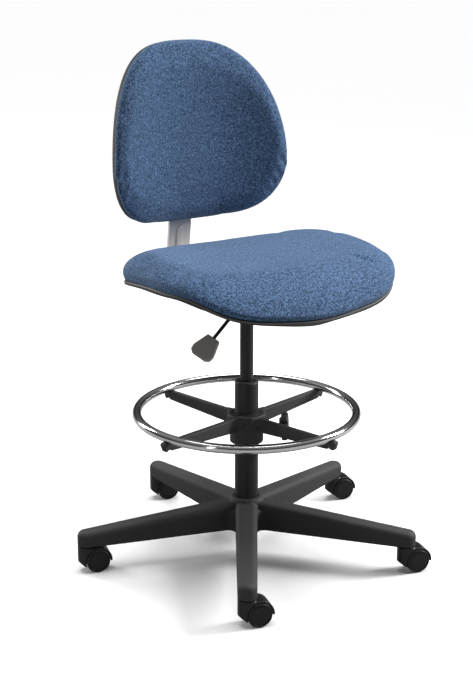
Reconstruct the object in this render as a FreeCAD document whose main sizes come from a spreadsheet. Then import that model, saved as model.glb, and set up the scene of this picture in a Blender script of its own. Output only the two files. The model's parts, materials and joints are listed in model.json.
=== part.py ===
import FreeCAD, Part
import math
import os
import re
import Sketcher
from FreeCAD import Placement, Rotation, Vector

# Drafting chair.  Millimetres and degrees.  +Z is up, the origin is the column's axis on the
# floor, the front of the seat faces -Y and the sitter's right hand is on -X.

SIZES = {
    # general fits
    "fit_gap": 0.02,            # between pieces pressed or screwed together
    "running_gap": 0.08,        # radial gap of shafts and slides
    "free_gap": 0.4,            # between pieces that pass each other
    # five-arm base
    "arm_count": 5,
    "arm_heading": -122.7,      # of the first arm
    "caster_circle": 350,       # radius to the caster stems
    "arm_half_width": 19.3,     # at the tip
    "arm_root_half_width": 23.5,
    "arm_underside": 57,
    "arm_tip_top": 90,
    "arm_root_top": 118,
    "arm_round": 13,            # long top edges
    "arm_wall": 3.5,
    "base_hub_radius": 37,
    "base_hub_top": 126,
    "base_hub_round": 9,
    "arm_gusset_radius": 14,    # of the hollows between the arms at the hub
    # casters
    "wheel_radius": 25,
    "wheel_inner_face": 6.2,
    "wheel_outer_face": 20.5,
    "caster_trail": 20,
    "caster_heading": -14.1,
    "caster_half_width": 19.3,
    "caster_top": 55.6,
    "hood_radius": 30,
    "wheel_clearance": 1.0,
    "web_half_width": 5.4,
    "stem_radius": 5.5,
    "stem_bottom": 37,
    "stem_top": 84,
    "axle_radius": 3,
    "axle_half_length": 17,
    # column
    "column_radius": 25,
    "column_wall": 2,
    "column_bottom": 56,
    "column_top": 380,
    "column_floor": 4,          # thickness of its closed lower end
    "taper_length": 60,
    "taper_drop": 1,            # loss of radius along a taper
    "bearing_height": 5,
    "bearing_radius": 11,
    "rod_radius": 5,
    "rod_bottom": 50,
    "rod_top": 362,
    "collar_height": 2,
    "bumper_height": 8,
    "piston_height": 12,
    "tube_radius": 14,
    "tube_wall": 1.5,
    "tube_bottom": 213,
    "tube_top": 556,
    "tube_cap": 6,
    "guide_height": 15,
    "bush_height": 80,
    "bush_rim": 2.5,
    "button_radius": 4.5,
    "button_height": 6,         # above the tube
    "button_length": 17,
    # foot ring
    "ring_radius": 230.5,
    "ring_tube": 9.5,
    "ring_centre": 315,
    "spoke_heading": 14,
    "spoke_half_width": 6.5,
    "spoke_end_depth": 20,
    "spoke_root_depth": 32,
    "spoke_overhang": 16,       # past the ring's centre line
    "spoke_seat": 3,            # how deep the ring sits in its spokes
    "sleeve_wall": 3,
    "ring_hub_radius": 35.5,
    "ring_hub_bottom": 248,
    "ring_hub_top": 312,
    "ring_flange_radius": 39,
    "ring_flange_height": 14,
    "clamp_heading": -32.7,
    "clamp_level": 281,
    "clamp_knob_inner": 69,
    # knobs and their studs
    "knob_radius": 31,
    "knob_depth": 20,
    "knob_flute": 4,
    "small_knob_radius": 22,
    "small_knob_depth": 18,
    "stud_radius": 4,
    # seat
    "seat_trim_depth": 5,
    "pan_rim_depth": 2.4,       # of the pan's flange under the trim
    "seat_trim_width": 5,
    "pan_wall": 3,
    "pan_floor": 576,
    "pan_floor_share": 0.62,    # size of the flat floor against the outline
    "board_thickness": 9,
    "nut_flange_radius": 9,
    "nut_flange_height": 1.2,
    "bolt_spacing_x": 110,
    "bolt_spacing_y": 130,
    # mechanism
    "plate_half_width": 70,
    "plate_front": -88,
    "plate_rear": 88,
    "plate_thickness": 3,
    "box_half_width": 45,
    "box_bottom": 524,
    "box_front": -62,
    "box_rear": 45,
    "socket_radius": 19,
    # release lever
    "lever_radius": 3.8,
    "lever_pivot_x": -45,
    "lever_pivot_y": -30,
    "lever_pivot_z": 547,
    "lever_collar_radius": 4.6, # of the round collar that it rocks on
    "lever_collar_half": 7,
    "lever_drop": 43.3,         # slope of its outer run, degrees
    "lever_reach": 73,          # from the pivot to the paddle's mouth
    "paddle_length": 51,
    "paddle_narrow": 30,
    "paddle_wide": 53,
    "paddle_thickness": 9,
    "paddle_roll": -32,
    # back bar
    "bar_half_width": 27.5,
    "bar_thickness": 6,
    "bar_level": 559,           # centre of its run under the seat
    "bar_front": 75,
    "bar_bend": 32,
    "bar_lean": 8.1,            # forward lean of the visible run, degrees
    "bar_top": 232,             # along the back, from the back's lower edge
    "bar_offset": 5,            # from the back's rear face to the bar
    "bead_half_width": 7.5,
    "bead_height": 2.5,
    "bead_length": 62,
    "channel_front": 62,
    "channel_rear": 150,
    "channel_half_width": 34.5,
    "channel_bottom": 550,
    "depth_knob_y": 106,
    # backrest, in its own leaning frame
    "back_y": 263,
    "back_z": 684,
    "back_lean": 2.46,
    "back_width": 416.6,
    "back_height": 380.4,
    "back_widest": 0.323,       # share of the height where it is widest
    "back_curve": 300,          # radius of its rear face
    "back_front_curve": 400,    # radius of the cushion's front
    "back_shell": 4,
    "back_thickness": 67,
    "back_trim_inset": 2,       # from the back's outline
    "back_trim_width": 4,
    "back_trim_depth": 9,
    "bracket_bottom": 75,
    "bracket_length": 90,
    "bracket_half_width": 36.5,
    "bracket_rear": 16,
    # screws
    "screw_radius": 3,
    "screw_head_radius": 6,
    "screw_head_height": 3.5,
    "small_screw_radius": 2.2,
    "small_screw_head": 3.9,
}

# Half of the seat's outline, front to rear, and the level of its lower edge and of its top.
SEAT_OUTLINE = [(0, -269), (99, -258), (201, -222), (254, -126), (253, -20), (237, 79), (185, 163),
                (89, 196), (0, 198)]
SEAT_EDGE = [(-290, 562), (-260, 581.4), (-180, 624.6), (-100, 628.5), (-20, 623.7), (80, 610.3), (215, 583)]
SEAT_TOP = [(-290, 598), (-260, 621.4), (-180, 657.6), (-100, 670), (-20, 674.5), (80, 669), (215, 633)]

doc = FreeCAD.newDocument("DraftingChair")
sheet = doc.addObject("Spreadsheet::Sheet", "Sizes")
for row, (alias, number) in enumerate(SIZES.items(), start=1):
    sheet.set(f"A{row}", alias)
    sheet.set(f"B{row}", str(number))
    sheet.setAlias(f"B{row}", alias)
doc.recompute()

parts = []


def val(alias):
    """A size, read back from the sheet."""
    return float(sheet.get(alias))


def bound(text):
    """An expression in plain aliases, with the sheet's name put before each of them."""
    return re.sub(r"[a-z]\w*", lambda word: "Sizes." + word[0] if word[0] in SIZES else word[0], text)


def keep(piece, label):
    """Take a finished object as one of the chair's sub-parts."""
    piece.Label = label
    parts.append(piece)
    return piece


def shaped(label, shape, place=Placement()):
    """A sub-part whose shape is made here."""
    piece = doc.addObject("Part::Feature", label)
    piece.Shape = shape
    piece.Placement = place
    return keep(piece, label)


def turned(heading, x=0.0, y=0.0, z=0.0):
    """A place at x, y, z in a frame that is turned about the column's axis."""
    spin = Rotation(Vector(0, 0, 1), heading)
    return Placement(spin.multVec(Vector(x, y, z)), spin)


# ---------------------------------------------------------------- sketches and bodies

def new_body(label, place=Placement()):
    body = doc.addObject("PartDesign::Body", label)
    body.Placement = place
    return keep(body, label)


def pin_corner(sketch, corner, kind, text):
    """Hold one corner of a sketch at a distance from its origin."""
    if text == "0":
        axis = -2 if kind == "DistanceX" else -1
        sketch.addConstraint(Sketcher.Constraint("PointOnObject", corner, 1, axis))
        return
    index = sketch.addConstraint(Sketcher.Constraint(kind, -1, 1, corner, 1, 1.0))
    sketch.setExpression(f"Constraints[{index}]", bound(text))


def outline(body, role, corners):
    """A closed sketch on one of the body's origin planes, each corner bound to the sheet."""
    sketch = body.newObject("Sketcher::SketchObject", f"{body.Name}_{role}")
    plane = next(item for item in body.Origin.OriginFeatures if item.Role == role)
    sketch.AttachmentSupport = (plane, [""])
    sketch.MapMode = "FlatFace"
    count = len(corners)
    turns = [2 * math.pi * i / count for i in range(count)]
    start = [Vector(100 + 50 * math.cos(turn), 100 + 50 * math.sin(turn), 0) for turn in turns]
    for i in range(count):
        sketch.addGeometry(Part.LineSegment(start[i], start[(i + 1) % count]))
    for i in range(count):
        sketch.addConstraint(Sketcher.Constraint("Coincident", i, 2, (i + 1) % count, 1))
    for i, (across, up) in enumerate(corners):
        pin_corner(sketch, i, "DistanceX", across)
        pin_corner(sketch, i, "DistanceY", up)
    return sketch


def spun(label, corners, place=Placement()):
    """A round body: corners are (radius, height) pairs, turned about its Z axis."""
    body = new_body(label, place)
    sketch = outline(body, "XZ_Plane", corners)
    turn = body.newObject("PartDesign::Revolution", label + "_turn")
    turn.Profile = (sketch, [""])
    turn.ReferenceAxis = (sketch, ["V_Axis"])
    turn.Angle = 360
    return body


def ring(label, inner, outer, low, high, place=Placement()):
    """A plain round body with a rectangular section."""
    return spun(label, [(inner, low), (outer, low), (outer, high), (inner, high)], place)


def pad(body, role, corners, length, both_ways=True):
    """A straight pad from a sketch on an origin plane."""
    feature = body.newObject("PartDesign::Pad", body.Name + "_pad")
    feature.Profile = (outline(body, role, corners), [""])
    feature.SideType = "Symmetric" if both_ways else "One side"
    feature.setExpression("Length", bound(length))
    return feature


def cut_hole(body, role, corners, length):
    """A straight pocket that runs the same way to both sides of its sketch."""
    feature = body.newObject("PartDesign::Pocket", body.Name + "_pocket")
    feature.Profile = (outline(body, role, corners), [""])
    feature.SideType = "Symmetric"
    feature.setExpression("Length", bound(length))
    return feature


def rounded(body, radius, wanted):
    """A fillet on the edges of the body's tip that the test picks."""
    doc.recompute()
    base = body.Tip
    names = [f"Edge{i + 1}" for i, edge in enumerate(base.Shape.Edges) if wanted(edge)]
    feature = body.newObject("PartDesign::Fillet", body.Name + "_round")
    feature.Base = (base, names)
    feature.setExpression("Radius", bound(radius))
    return feature


def box_corners(left, right, low, high):
    return [(left, low), (right, low), (right, high), (left, high)]


# ---------------------------------------------------------------- shapes made directly

def block(x0, x1, y0, y1, z0, z1):
    return Part.makeBox(x1 - x0, y1 - y0, z1 - z0, Vector(x0, y0, z0))


def rod_between(radius, start, end):
    return Part.makeCylinder(radius, (end - start).Length, start, end - start)


def section_wire(points):
    """A closed polygon as a wire."""
    return Part.makePolygon(points + points[:1])


# ---------------------------------------------------------------- five-arm base

def arm_top(along):
    """Level of an arm's ridge at a distance from the column."""
    share = (along - val("base_hub_radius")) / (val("caster_circle") - val("base_hub_radius"))
    return val("arm_root_top") + share * (val("arm_tip_top") - val("arm_root_top"))


def arm_section(along, half, low, high, radius):
    """Cross-section of an arm: flat below, upright sides, well rounded above."""
    diagonal = radius * (1 - math.sqrt(0.5))
    left_low, left_high = Vector(along, -half, low), Vector(along, -half, high - radius)
    right_low, right_high = Vector(along, half, low), Vector(along, half, high - radius)
    top_left, top_right = Vector(along, radius - half, high), Vector(along, half - radius, high)
    left_mid = Vector(along, diagonal - half, high - diagonal)
    right_mid = Vector(along, half - diagonal, high - diagonal)
    return Part.Wire([
        Part.LineSegment(left_low, left_high).toShape(),
        Part.Arc(left_high, left_mid, top_left).toShape(),
        Part.LineSegment(top_left, top_right).toShape(),
        Part.Arc(top_right, right_mid, right_high).toShape(),
        Part.LineSegment(right_high, right_low).toShape(),
        Part.LineSegment(right_low, left_low).toShape(),
    ])


def arm_shell():
    """One arm along +X: a loft with a round end, hollow below between cross ribs."""
    half, low, radius = val("arm_half_width"), val("arm_underside"), val("arm_round")
    tip, wall, start = val("caster_circle"), val("arm_wall"), val("column_radius")
    root_half = val("arm_root_half_width")
    body = Part.makeLoft([
        arm_section(start, root_half, low, arm_top(start), radius),
        arm_section(tip, half, low, arm_top(tip), radius),
    ], True, True)
    tip_top = arm_top(tip)
    diagonal = radius * (1 - math.sqrt(0.5))
    corner = Part.Arc(Vector(half, 0, tip_top - radius), Vector(half - diagonal, 0, tip_top - diagonal),
                      Vector(half - radius, 0, tip_top))
    half_round = Part.Wire([
        Part.LineSegment(Vector(0, 0, low), Vector(half, 0, low)).toShape(),
        Part.LineSegment(Vector(half, 0, low), Vector(half, 0, tip_top - radius)).toShape(),
        corner.toShape(),
        Part.LineSegment(Vector(half - radius, 0, tip_top), Vector(0, 0, tip_top)).toShape(),
        Part.LineSegment(Vector(0, 0, tip_top), Vector(0, 0, low)).toShape(),
    ])
    end = Part.Face(half_round).revolve(Vector(0, 0, 0), Vector(0, 0, 1), 360)
    end.translate(Vector(tip, 0, 0))
    body = body.fuse(end)
    hollow_start, hollow_end = val("base_hub_radius") + wall, tip - half
    hollow = Part.makeLoft([
        arm_section(hollow_start, root_half - wall, low - 1, arm_top(hollow_start) - wall, radius - wall),
        arm_section(hollow_end, half - wall, low - 1, arm_top(hollow_end) - wall, radius - wall),
    ], True, True)
    rib_count = 5
    for i in range(1, rib_count + 1):
        x = hollow_start + (hollow_end - hollow_start) * i / (rib_count + 1)
        hollow = hollow.cut(block(x - wall / 2, x + wall / 2, -root_half, root_half, low + wall, arm_top(x)))
    body = body.cut(hollow)
    socket = Part.makeCylinder(val("stem_radius") + val("fit_gap"), val("stem_top") + 0.5 - low + 1,
                               Vector(tip, 0, low - 1))
    return body.cut(socket)


def star_base():
    """Hub with a tapered socket and the five arms in one moulding."""
    low, high, radius = val("arm_underside"), val("base_hub_top"), val("base_hub_radius")
    hub = Part.makeCylinder(radius, high - low, Vector(0, 0, low))
    top_edge = [edge for edge in hub.Edges if edge.BoundBox.ZMin > high - 0.1]
    hub = hub.makeFillet(val("base_hub_round"), top_edge)
    arm = arm_shell()
    arms = []
    for i in range(int(val("arm_count"))):
        copy = arm.copy()
        copy.Placement = turned(val("arm_heading") + i * 360 / val("arm_count"))
        arms.append(copy)
    gussets = []
    half_turn = math.pi / val("arm_count")
    hollow = val("arm_gusset_radius")
    aside = val("arm_root_half_width") + hollow
    reach = math.hypot(aside / math.tan(half_turn), val("arm_root_half_width"))
    middle = turned(math.degrees(half_turn), aside / math.sin(half_turn)).Base
    for i in range(int(val("arm_count"))):
        gusset = Part.makeCylinder(reach, val("arm_root_top") - hollow - low, Vector(0, 0, low),
                                   Vector(0, 0, 1), math.degrees(2 * half_turn))
        gusset = gusset.cut(Part.makeCylinder(hollow, high, middle))
        gusset.Placement = turned(val("arm_heading") + i * 360 / val("arm_count"))
        gussets.append(gusset)
    star = hub.multiFuse(arms + gussets)
    gap = val("fit_gap")
    taper = Part.makeCone(val("column_radius") - val("taper_drop") + gap, val("column_radius") + gap,
                          val("taper_length"), Vector(0, 0, val("column_bottom")))
    straight = Part.makeCylinder(val("column_radius") + gap, high,
                                 Vector(0, 0, val("column_bottom") + val("taper_length")))
    below = Part.makeCylinder(val("column_radius") - val("taper_drop") + gap, val("column_bottom"),
                              Vector(0, 0, 0))
    star = star.cut(taper.fuse([straight, below])).removeSplitter()
    return star


shaped("star_base", star_base())

stem_places = [turned(val("arm_heading") + i * 360 / val("arm_count"), val("caster_circle"))
               for i in range(int(val("arm_count")))]


def caster_stem():
    """Stem with a flange under the arm and a groove for its grip ring."""
    radius, low, high = val("stem_radius"), val("stem_bottom"), val("stem_top")
    stem = Part.makeCylinder(radius, high - low, Vector(0, 0, low))
    flange = Part.makeCylinder(radius + 3, val("arm_underside") - val("caster_top") - val("free_gap"),
                               Vector(0, 0, val("caster_top") + val("free_gap")))
    groove = Part.makeCylinder(radius + 1, 2, Vector(0, 0, high - 8))
    groove = groove.cut(Part.makeCylinder(radius - 1, 2, Vector(0, 0, high - 8)))
    return stem.fuse(flange).cut(groove).removeSplitter()


stems = []
for place in stem_places:
    stem = caster_stem()
    stem.Placement = place
    stems.append(stem)
shaped("caster_stems", Part.makeCompound(stems))


# ---------------------------------------------------------------- casters

def caster_hood():
    """Boss, centre web and hood in one piece; the wheels trail towards +X."""
    half, trail, top = val("caster_half_width"), val("caster_trail"), val("caster_top")
    axle_z = val("wheel_radius")
    boss = Part.makeCylinder(half, top - 14, Vector(0, 0, 14))
    lower_cut = Part.makeBox(80, 80, 60, Vector(-40, -40, -60))
    lower_cut.rotate(Vector(0, 0, 0), Vector(0, 1, 0), 35)
    lower_cut.translate(Vector(-half + 3, 0, axle_z - 4))
    boss = boss.cut(lower_cut)
    hood = Part.makeCylinder(val("hood_radius"), 2 * half, Vector(trail, -half, axle_z), Vector(0, 1, 0))
    hood = hood.common(block(-half, trail + val("hood_radius") + 1, -half, half, axle_z - 2, top))
    body = boss.fuse([hood, block(0, trail, -half, half, axle_z, top - 6)])
    wheel_space = val("wheel_radius") + val("wheel_clearance")
    web = val("web_half_width")
    for side in (1, -1):
        start = Vector(trail, side * web, axle_z)
        body = body.cut(Part.makeCylinder(wheel_space, half + 5 - web, start, Vector(0, side, 0)))
    low_web = Part.makeCylinder(wheel_space, 2 * web, Vector(trail, -web, axle_z), Vector(0, 1, 0))
    round_web = Part.makeCylinder(axle_z - 7, 2 * web, Vector(trail, -web, axle_z), Vector(0, 1, 0))
    body = body.cut(low_web.common(block(-60, 80, -web, web, -1, axle_z))).fuse(round_web)
    gap = val("running_gap")
    body = body.cut(Part.makeCylinder(val("stem_radius") + gap, top, Vector(0, 0, val("stem_bottom") - 0.5)))
    body = body.cut(Part.makeCylinder(val("axle_radius") + val("fit_gap"), 80, Vector(trail, -40, axle_z),
                                      Vector(0, 1, 0)))
    return body.removeSplitter()


hood_shape = caster_hood()
for number, place in enumerate(stem_places, start=1):
    caster_place = Placement(place.Base, Rotation(Vector(0, 0, 1), val("caster_heading")))
    shaped(f"caster_hood_{number}", hood_shape.copy(), caster_place)
    across = caster_place.multiply(Placement(Vector(val("caster_trail"), 0, val("wheel_radius")),
                                             Rotation(Vector(1, 0, 0), -90)))
    axle = doc.addObject("Part::Cylinder", f"caster_axle_{number}")
    axle.setExpression("Radius", bound("axle_radius"))
    axle.setExpression("Height", bound("2 * axle_half_length"))
    axle.Placement = across.multiply(Placement(Vector(0, 0, -val("axle_half_length")), Rotation()))
    keep(axle, f"caster_axle_{number}")
    for side, turn in (("left", 0), ("right", 180)):
        wheel_place = across.multiply(Placement(Vector(), Rotation(Vector(1, 0, 0), turn)))
        bore = "axle_radius + running_gap"
        spun(f"caster_wheel_{side}_{number}", [
            (bore, "wheel_inner_face"), ("wheel_radius - 2", "wheel_inner_face"),
            ("wheel_radius", "wheel_inner_face + 2"), ("wheel_radius", "wheel_outer_face - 2.5"),
            ("wheel_radius - 0.8", "wheel_outer_face - 0.8"), ("wheel_radius - 2.5", "wheel_outer_face"),
            ("wheel_radius - 5", "wheel_outer_face"), ("wheel_radius - 6", "wheel_outer_face - 0.8"),
            ("0", "wheel_outer_face - 0.8"), ("0", "axle_half_length + free_gap"),
            (bore, "axle_half_length + free_gap")], wheel_place)


# ---------------------------------------------------------------- gas column

spun("column_outer_tube", [
    ("rod_radius + 0.4", "column_bottom"), ("column_radius - taper_drop", "column_bottom"),
    ("column_radius", "column_bottom + taper_length"), ("column_radius", "column_top - 1"),
    ("column_radius - 1", "column_top"), ("column_radius - column_wall", "column_top"),
    ("column_radius - column_wall", "column_bottom + taper_length"),
    ("column_radius - column_wall - taper_drop", "column_bottom + column_floor"),
    ("rod_radius + 0.4", "column_bottom + column_floor")])
spun("column_guide_bush", [
    ("tube_radius + running_gap", "column_top - bush_height"),
    ("column_radius - column_wall - fit_gap", "column_top - bush_height"),
    ("column_radius - column_wall - fit_gap", "column_top"), ("column_radius - 0.6", "column_top"),
    ("column_radius - 1.6", "column_top + bush_rim"), ("tube_radius + 3", "column_top + bush_rim"),
    ("tube_radius + running_gap", "column_top + bush_rim - 1.5")])
ring("thrust_bearing", "rod_radius + 0.4", "bearing_radius", "column_bottom + column_floor",
     "column_bottom + column_floor + bearing_height")
collar_low = "column_bottom + column_floor + bearing_height + running_gap"
spun("piston_rod", [
    ("0", "rod_bottom"), ("rod_radius - 1", "rod_bottom"), ("rod_radius", "rod_bottom + 1"),
    ("rod_radius", collar_low), ("bearing_radius - 1", collar_low),
    ("bearing_radius - 1", collar_low + " + collar_height"), ("rod_radius", collar_low + " + collar_height"),
    ("rod_radius", "rod_top"), ("0", "rod_top")])
ring("rod_clip", "rod_radius + fit_gap", "rod_radius + 3.5", "column_bottom - 2", "column_bottom - 0.2")
ring("column_bumper", "rod_radius + fit_gap", "bearing_radius", collar_low + " + collar_height",
     collar_low + " + collar_height + bumper_height - 1")
ring("piston", "rod_radius + fit_gap", "tube_radius - tube_wall - running_gap",
     "rod_top - piston_height", "rod_top")
tube_bore = "tube_radius - tube_wall"
spun("pressure_tube", [
    (tube_bore, "tube_bottom"), ("tube_radius", "tube_bottom"),
    ("tube_radius", "box_bottom - 4"), ("tube_radius - taper_drop", "tube_top"),
    ("button_radius + running_gap", "tube_top"), ("button_radius + running_gap", "tube_top - tube_cap"),
    (tube_bore, "tube_top - tube_cap - 4")])
ring("rod_guide", "rod_radius + running_gap", tube_bore + " - fit_gap", "tube_bottom",
     "tube_bottom + guide_height")
spun("release_button", [
    ("0", "tube_top + button_height - button_length"),
    ("button_radius", "tube_top + button_height - button_length"),
    ("button_radius", "tube_top + button_height - 1"), ("button_radius - 1", "tube_top + button_height"),
    ("0", "tube_top + button_height")])


# ---------------------------------------------------------------- foot ring

ring("foot_ring_sleeve", "column_radius + running_gap", "column_radius + sleeve_wall",
     "ring_hub_bottom + 1", "ring_hub_top + 1.5")


def foot_ring_hub():
    """Hub with a waisted flange and four tapering spokes that cradle the ring."""
    bore = val("column_radius") + val("sleeve_wall") + val("running_gap")
    low, high = val("ring_hub_bottom"), val("ring_hub_top")
    hub = Part.makeCylinder(val("ring_hub_radius"), high - low, Vector(0, 0, low))
    flange_low = high - val("ring_flange_height")
    flange = Part.makeCylinder(val("ring_flange_radius"), val("ring_flange_height"), Vector(0, 0, flange_low))
    top = val("ring_centre") - val("ring_tube") + val("spoke_seat")
    half = val("spoke_half_width")
    reach = val("ring_radius") + val("spoke_overhang")
    root = val("column_radius") + val("sleeve_wall") + 2
    spoke_side = section_wire([Vector(root, -half, top - 1), Vector(reach - 4, -half, top),
                               Vector(reach, -half, top - 4),
                               Vector(reach - 6, -half, top - val("spoke_end_depth")),
                               Vector(root, -half, top - val("spoke_root_depth"))])
    spoke = Part.Face(spoke_side).extrude(Vector(0, 2 * half, 0))
    long_edges = [edge for edge in spoke.Edges if edge.Length > 100]
    spoke = spoke.makeFillet(2.5, long_edges)
    gusset = val("ring_flange_height") + 4
    web = Part.makeCylinder(half + 16, gusset, Vector(root + 6, 0, top - gusset))
    for side in (1, -1):
        web = web.cut(Part.makeCylinder(18, gusset, Vector(root + 24, side * (half + 18), top - gusset)))
    spoke = spoke.fuse(web)
    spokes = []
    for i in range(4):
        copy = spoke.copy()
        copy.Placement = turned(val("spoke_heading") + 90 * i)
        spokes.append(copy)
    clamp = rod_between(11, Vector(root, 0, val("clamp_level")),
                        Vector(val("ring_hub_radius") + 8, 0, val("clamp_level")))
    clamp.Placement = turned(val("clamp_heading"))
    body = hub.multiFuse([flange, clamp] + spokes)
    body = body.cut(Part.makeCylinder(bore, high, Vector(0, 0, low - 1)))
    cradle = Part.makeTorus(val("ring_radius"), val("ring_tube") + val("fit_gap"),
                            Vector(0, 0, val("ring_centre")))
    body = body.cut(cradle)
    tapped = rod_between(val("stud_radius") + val("running_gap"), Vector(20, 0, val("clamp_level")),
                         Vector(80, 0, val("clamp_level")))
    tapped.Placement = turned(val("clamp_heading"))
    body = body.cut(tapped)
    for i in range(4):
        hole = Part.makeCylinder(val("screw_radius") + val("fit_gap"), 60, Vector(val("ring_radius"), 0, 270))
        recess = Part.makeCylinder(val("screw_head_radius") + 0.5, 60,
                                   Vector(val("ring_radius"), 0, top - val("spoke_end_depth") - 55))
        drill = hole.fuse(recess)
        drill.Placement = turned(val("spoke_heading") + 90 * i)
        body = body.cut(drill)
    return body.removeSplitter()


shaped("foot_ring_hub", foot_ring_hub())

ring_blank = doc.addObject("Part::Torus", "ring_blank")
ring_blank.setExpression("Radius1", bound("ring_radius"))
ring_blank.setExpression("Radius2", bound("ring_tube"))
ring_holes = doc.addObject("Part::Feature", "ring_holes")
ring_holes.Shape = Part.makeCompound([
    Part.makeCylinder(val("screw_radius") + val("fit_gap"), val("ring_tube"),
                      turned(val("spoke_heading") + 90 * i, val("ring_radius"), 0,
                             -val("ring_tube") - 1).Base)
    for i in range(4)])
ring_cut = doc.addObject("Part::Cut", "foot_ring_tube")
ring_cut.Base = ring_blank
ring_cut.Tool = ring_holes
ring_cut.Placement = Placement(Vector(0, 0, val("ring_centre")), Rotation())
keep(ring_cut, "foot_ring_tube")


def round_head_screw(length, radius, head_radius):
    """A cross-slotted screw along +Z from its head, which sits below the origin."""
    head_height = val("screw_head_height")
    head = Part.makeCylinder(head_radius, head_height, Vector(0, 0, -head_height))
    rim = [edge for edge in head.Edges if edge.BoundBox.ZMax < 0.1 - head_height]
    head = head.makeFillet(head_height * 0.6, rim)
    reach, narrow = head_radius * 0.6, head_radius * 0.16
    slot = block(-narrow, narrow, -reach, reach, -head_height - 1, -head_height + 1.5)
    cross = slot.fuse(block(-reach, reach, -narrow, narrow, -head_height - 1, -head_height + 1.5))
    return head.cut(cross).fuse(Part.makeCylinder(radius, length)).removeSplitter()


spoke_floor = val("ring_centre") - val("ring_tube") + val("spoke_seat") - val("spoke_end_depth") + 5
ring_screws = []
for i in range(4):
    screw = round_head_screw(val("ring_centre") - val("ring_tube") - spoke_floor + 4, val("screw_radius"),
                             val("screw_head_radius"))
    screw.Placement = turned(val("spoke_heading") + 90 * i, val("ring_radius"), 0, spoke_floor)
    ring_screws.append(screw)
shaped("foot_ring_screws", Part.makeCompound(ring_screws))


# ---------------------------------------------------------------- clamp knobs

def fluted_knob(label, radius, depth, flutes, place):
    """A domed hand knob with a fluted rim; its stud leaves towards -Z."""
    body = spun(label, [
        ("stud_radius + fit_gap", "0"), (radius + " * 0.55", "0"), (radius + " * 0.6", depth + " * 0.15"),
        (radius, depth + " * 0.3"), (radius, depth + " * 0.75"), (radius + " * 0.9", depth + " * 0.92"),
        (radius + " * 0.6", depth), ("0", depth), ("0", depth + " * 0.6"),
        ("stud_radius + fit_gap", depth + " * 0.6")], place)
    doc.recompute()
    flute = body.newObject("PartDesign::SubtractiveCylinder", label + "_flute")
    flute.setExpression("Radius", bound("knob_flute"))
    flute.setExpression("Height", bound(depth + " * 2"))
    flute.AttachmentOffset = Placement()
    flute.Placement = Placement()
    flute.setExpression("Placement.Base.x", bound(radius + " + knob_flute * 0.45"))
    doc.recompute()
    pattern = body.newObject("PartDesign::PolarPattern", label + "_flutes")
    pattern.Originals = [flute]
    axis = next(item for item in body.Origin.OriginFeatures if item.Role == "Z_Axis")
    pattern.Axis = (axis, [""])
    pattern.Angle = 360
    pattern.Occurrences = flutes
    body.Tip = pattern
    return body


def stud(label, start, end, place):
    """A plain threaded stud from start to end along its place's Z axis."""
    return ring(label, "0", "stud_radius", start, end, place)


outwards = Rotation(Vector(0, 1, 0), 90)
clamp_place = turned(val("clamp_heading"), 0, 0, val("clamp_level"))
clamp_axis = clamp_place.multiply(Placement(Vector(), outwards))
knob_place = clamp_axis.multiply(Placement(Vector(0, 0, val("clamp_knob_inner")), Rotation()))
fluted_knob("foot_ring_knob", "knob_radius", "knob_depth", 9, knob_place)
stud("foot_ring_stud", "column_radius + sleeve_wall + free_gap",
     "clamp_knob_inner + knob_depth * 0.55", clamp_axis)


# ---------------------------------------------------------------- seat shell and cushion

def closed_outline(half_points):
    """Periodic curve through half an outline and its mirror image."""
    mirror = [(-x, y) for x, y in reversed(half_points) if x > 0]
    curve = Part.BSplineCurve()
    curve.interpolate([Vector(x, y, 0) for x, y in half_points + mirror], PeriodicFlag=True)
    return curve


def profile_curve(points):
    """Open curve in the side view, through (y, z) pairs."""
    curve = Part.BSplineCurve()
    curve.interpolate([Vector(0, y, z) for y, z in points])
    return curve


seat_curve = closed_outline(SEAT_OUTLINE)
edge_curve = profile_curve(SEAT_EDGE)
top_curve = profile_curve(SEAT_TOP)


def edge_level(y):
    """Level of the seat's lower edge at y."""
    low, high = edge_curve.FirstParameter, edge_curve.LastParameter
    for _ in range(40):
        middle = (low + high) / 2
        if edge_curve.value(middle).y < y:
            low = middle
        else:
            high = middle
    return edge_curve.value(low).z


def inset_curve(curve, distance, normal, steps=36):
    """A closed curve moved inwards in the plane that has this normal."""
    if distance == 0:
        return curve
    span = curve.LastParameter - curve.FirstParameter
    points = []
    for i in range(steps):
        at = curve.FirstParameter + span * i / steps
        inwards = normal.cross(curve.tangent(at)[0]).normalize()
        points.append(curve.value(at) + inwards * distance)
    inner = Part.BSplineCurve()
    inner.interpolate(points, PeriodicFlag=True)
    return inner


def seat_prism(distance):
    """The seat's outline, moved inwards, as a tall upright prism."""
    face = Part.Face(Part.Wire(inset_curve(seat_curve, distance, Vector(0, 0, 1)).toShape()))
    prism = face.extrude(Vector(0, 0, 200))
    prism.translate(Vector(0, 0, 520))
    return prism


def side_band(lower, upper):
    """Everything between two side-view curves, right across the seat."""
    ends = [Part.LineSegment(lower.EndPoint, upper.EndPoint),
            Part.LineSegment(upper.StartPoint, lower.StartPoint)]
    sides = [lower.toShape(), ends[0].toShape(), upper.toShape(), ends[1].toShape()]
    wire = Part.Wire(Part.sortEdges(sides)[0])
    band = Part.Face(wire).extrude(Vector(700, 0, 0))
    band.translate(Vector(-350, 0, 0))
    return band


def lifted(curve, rise):
    """A side-view curve moved up or down."""
    copy = curve.copy()
    copy.translate(Vector(0, 0, rise))
    return copy


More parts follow.
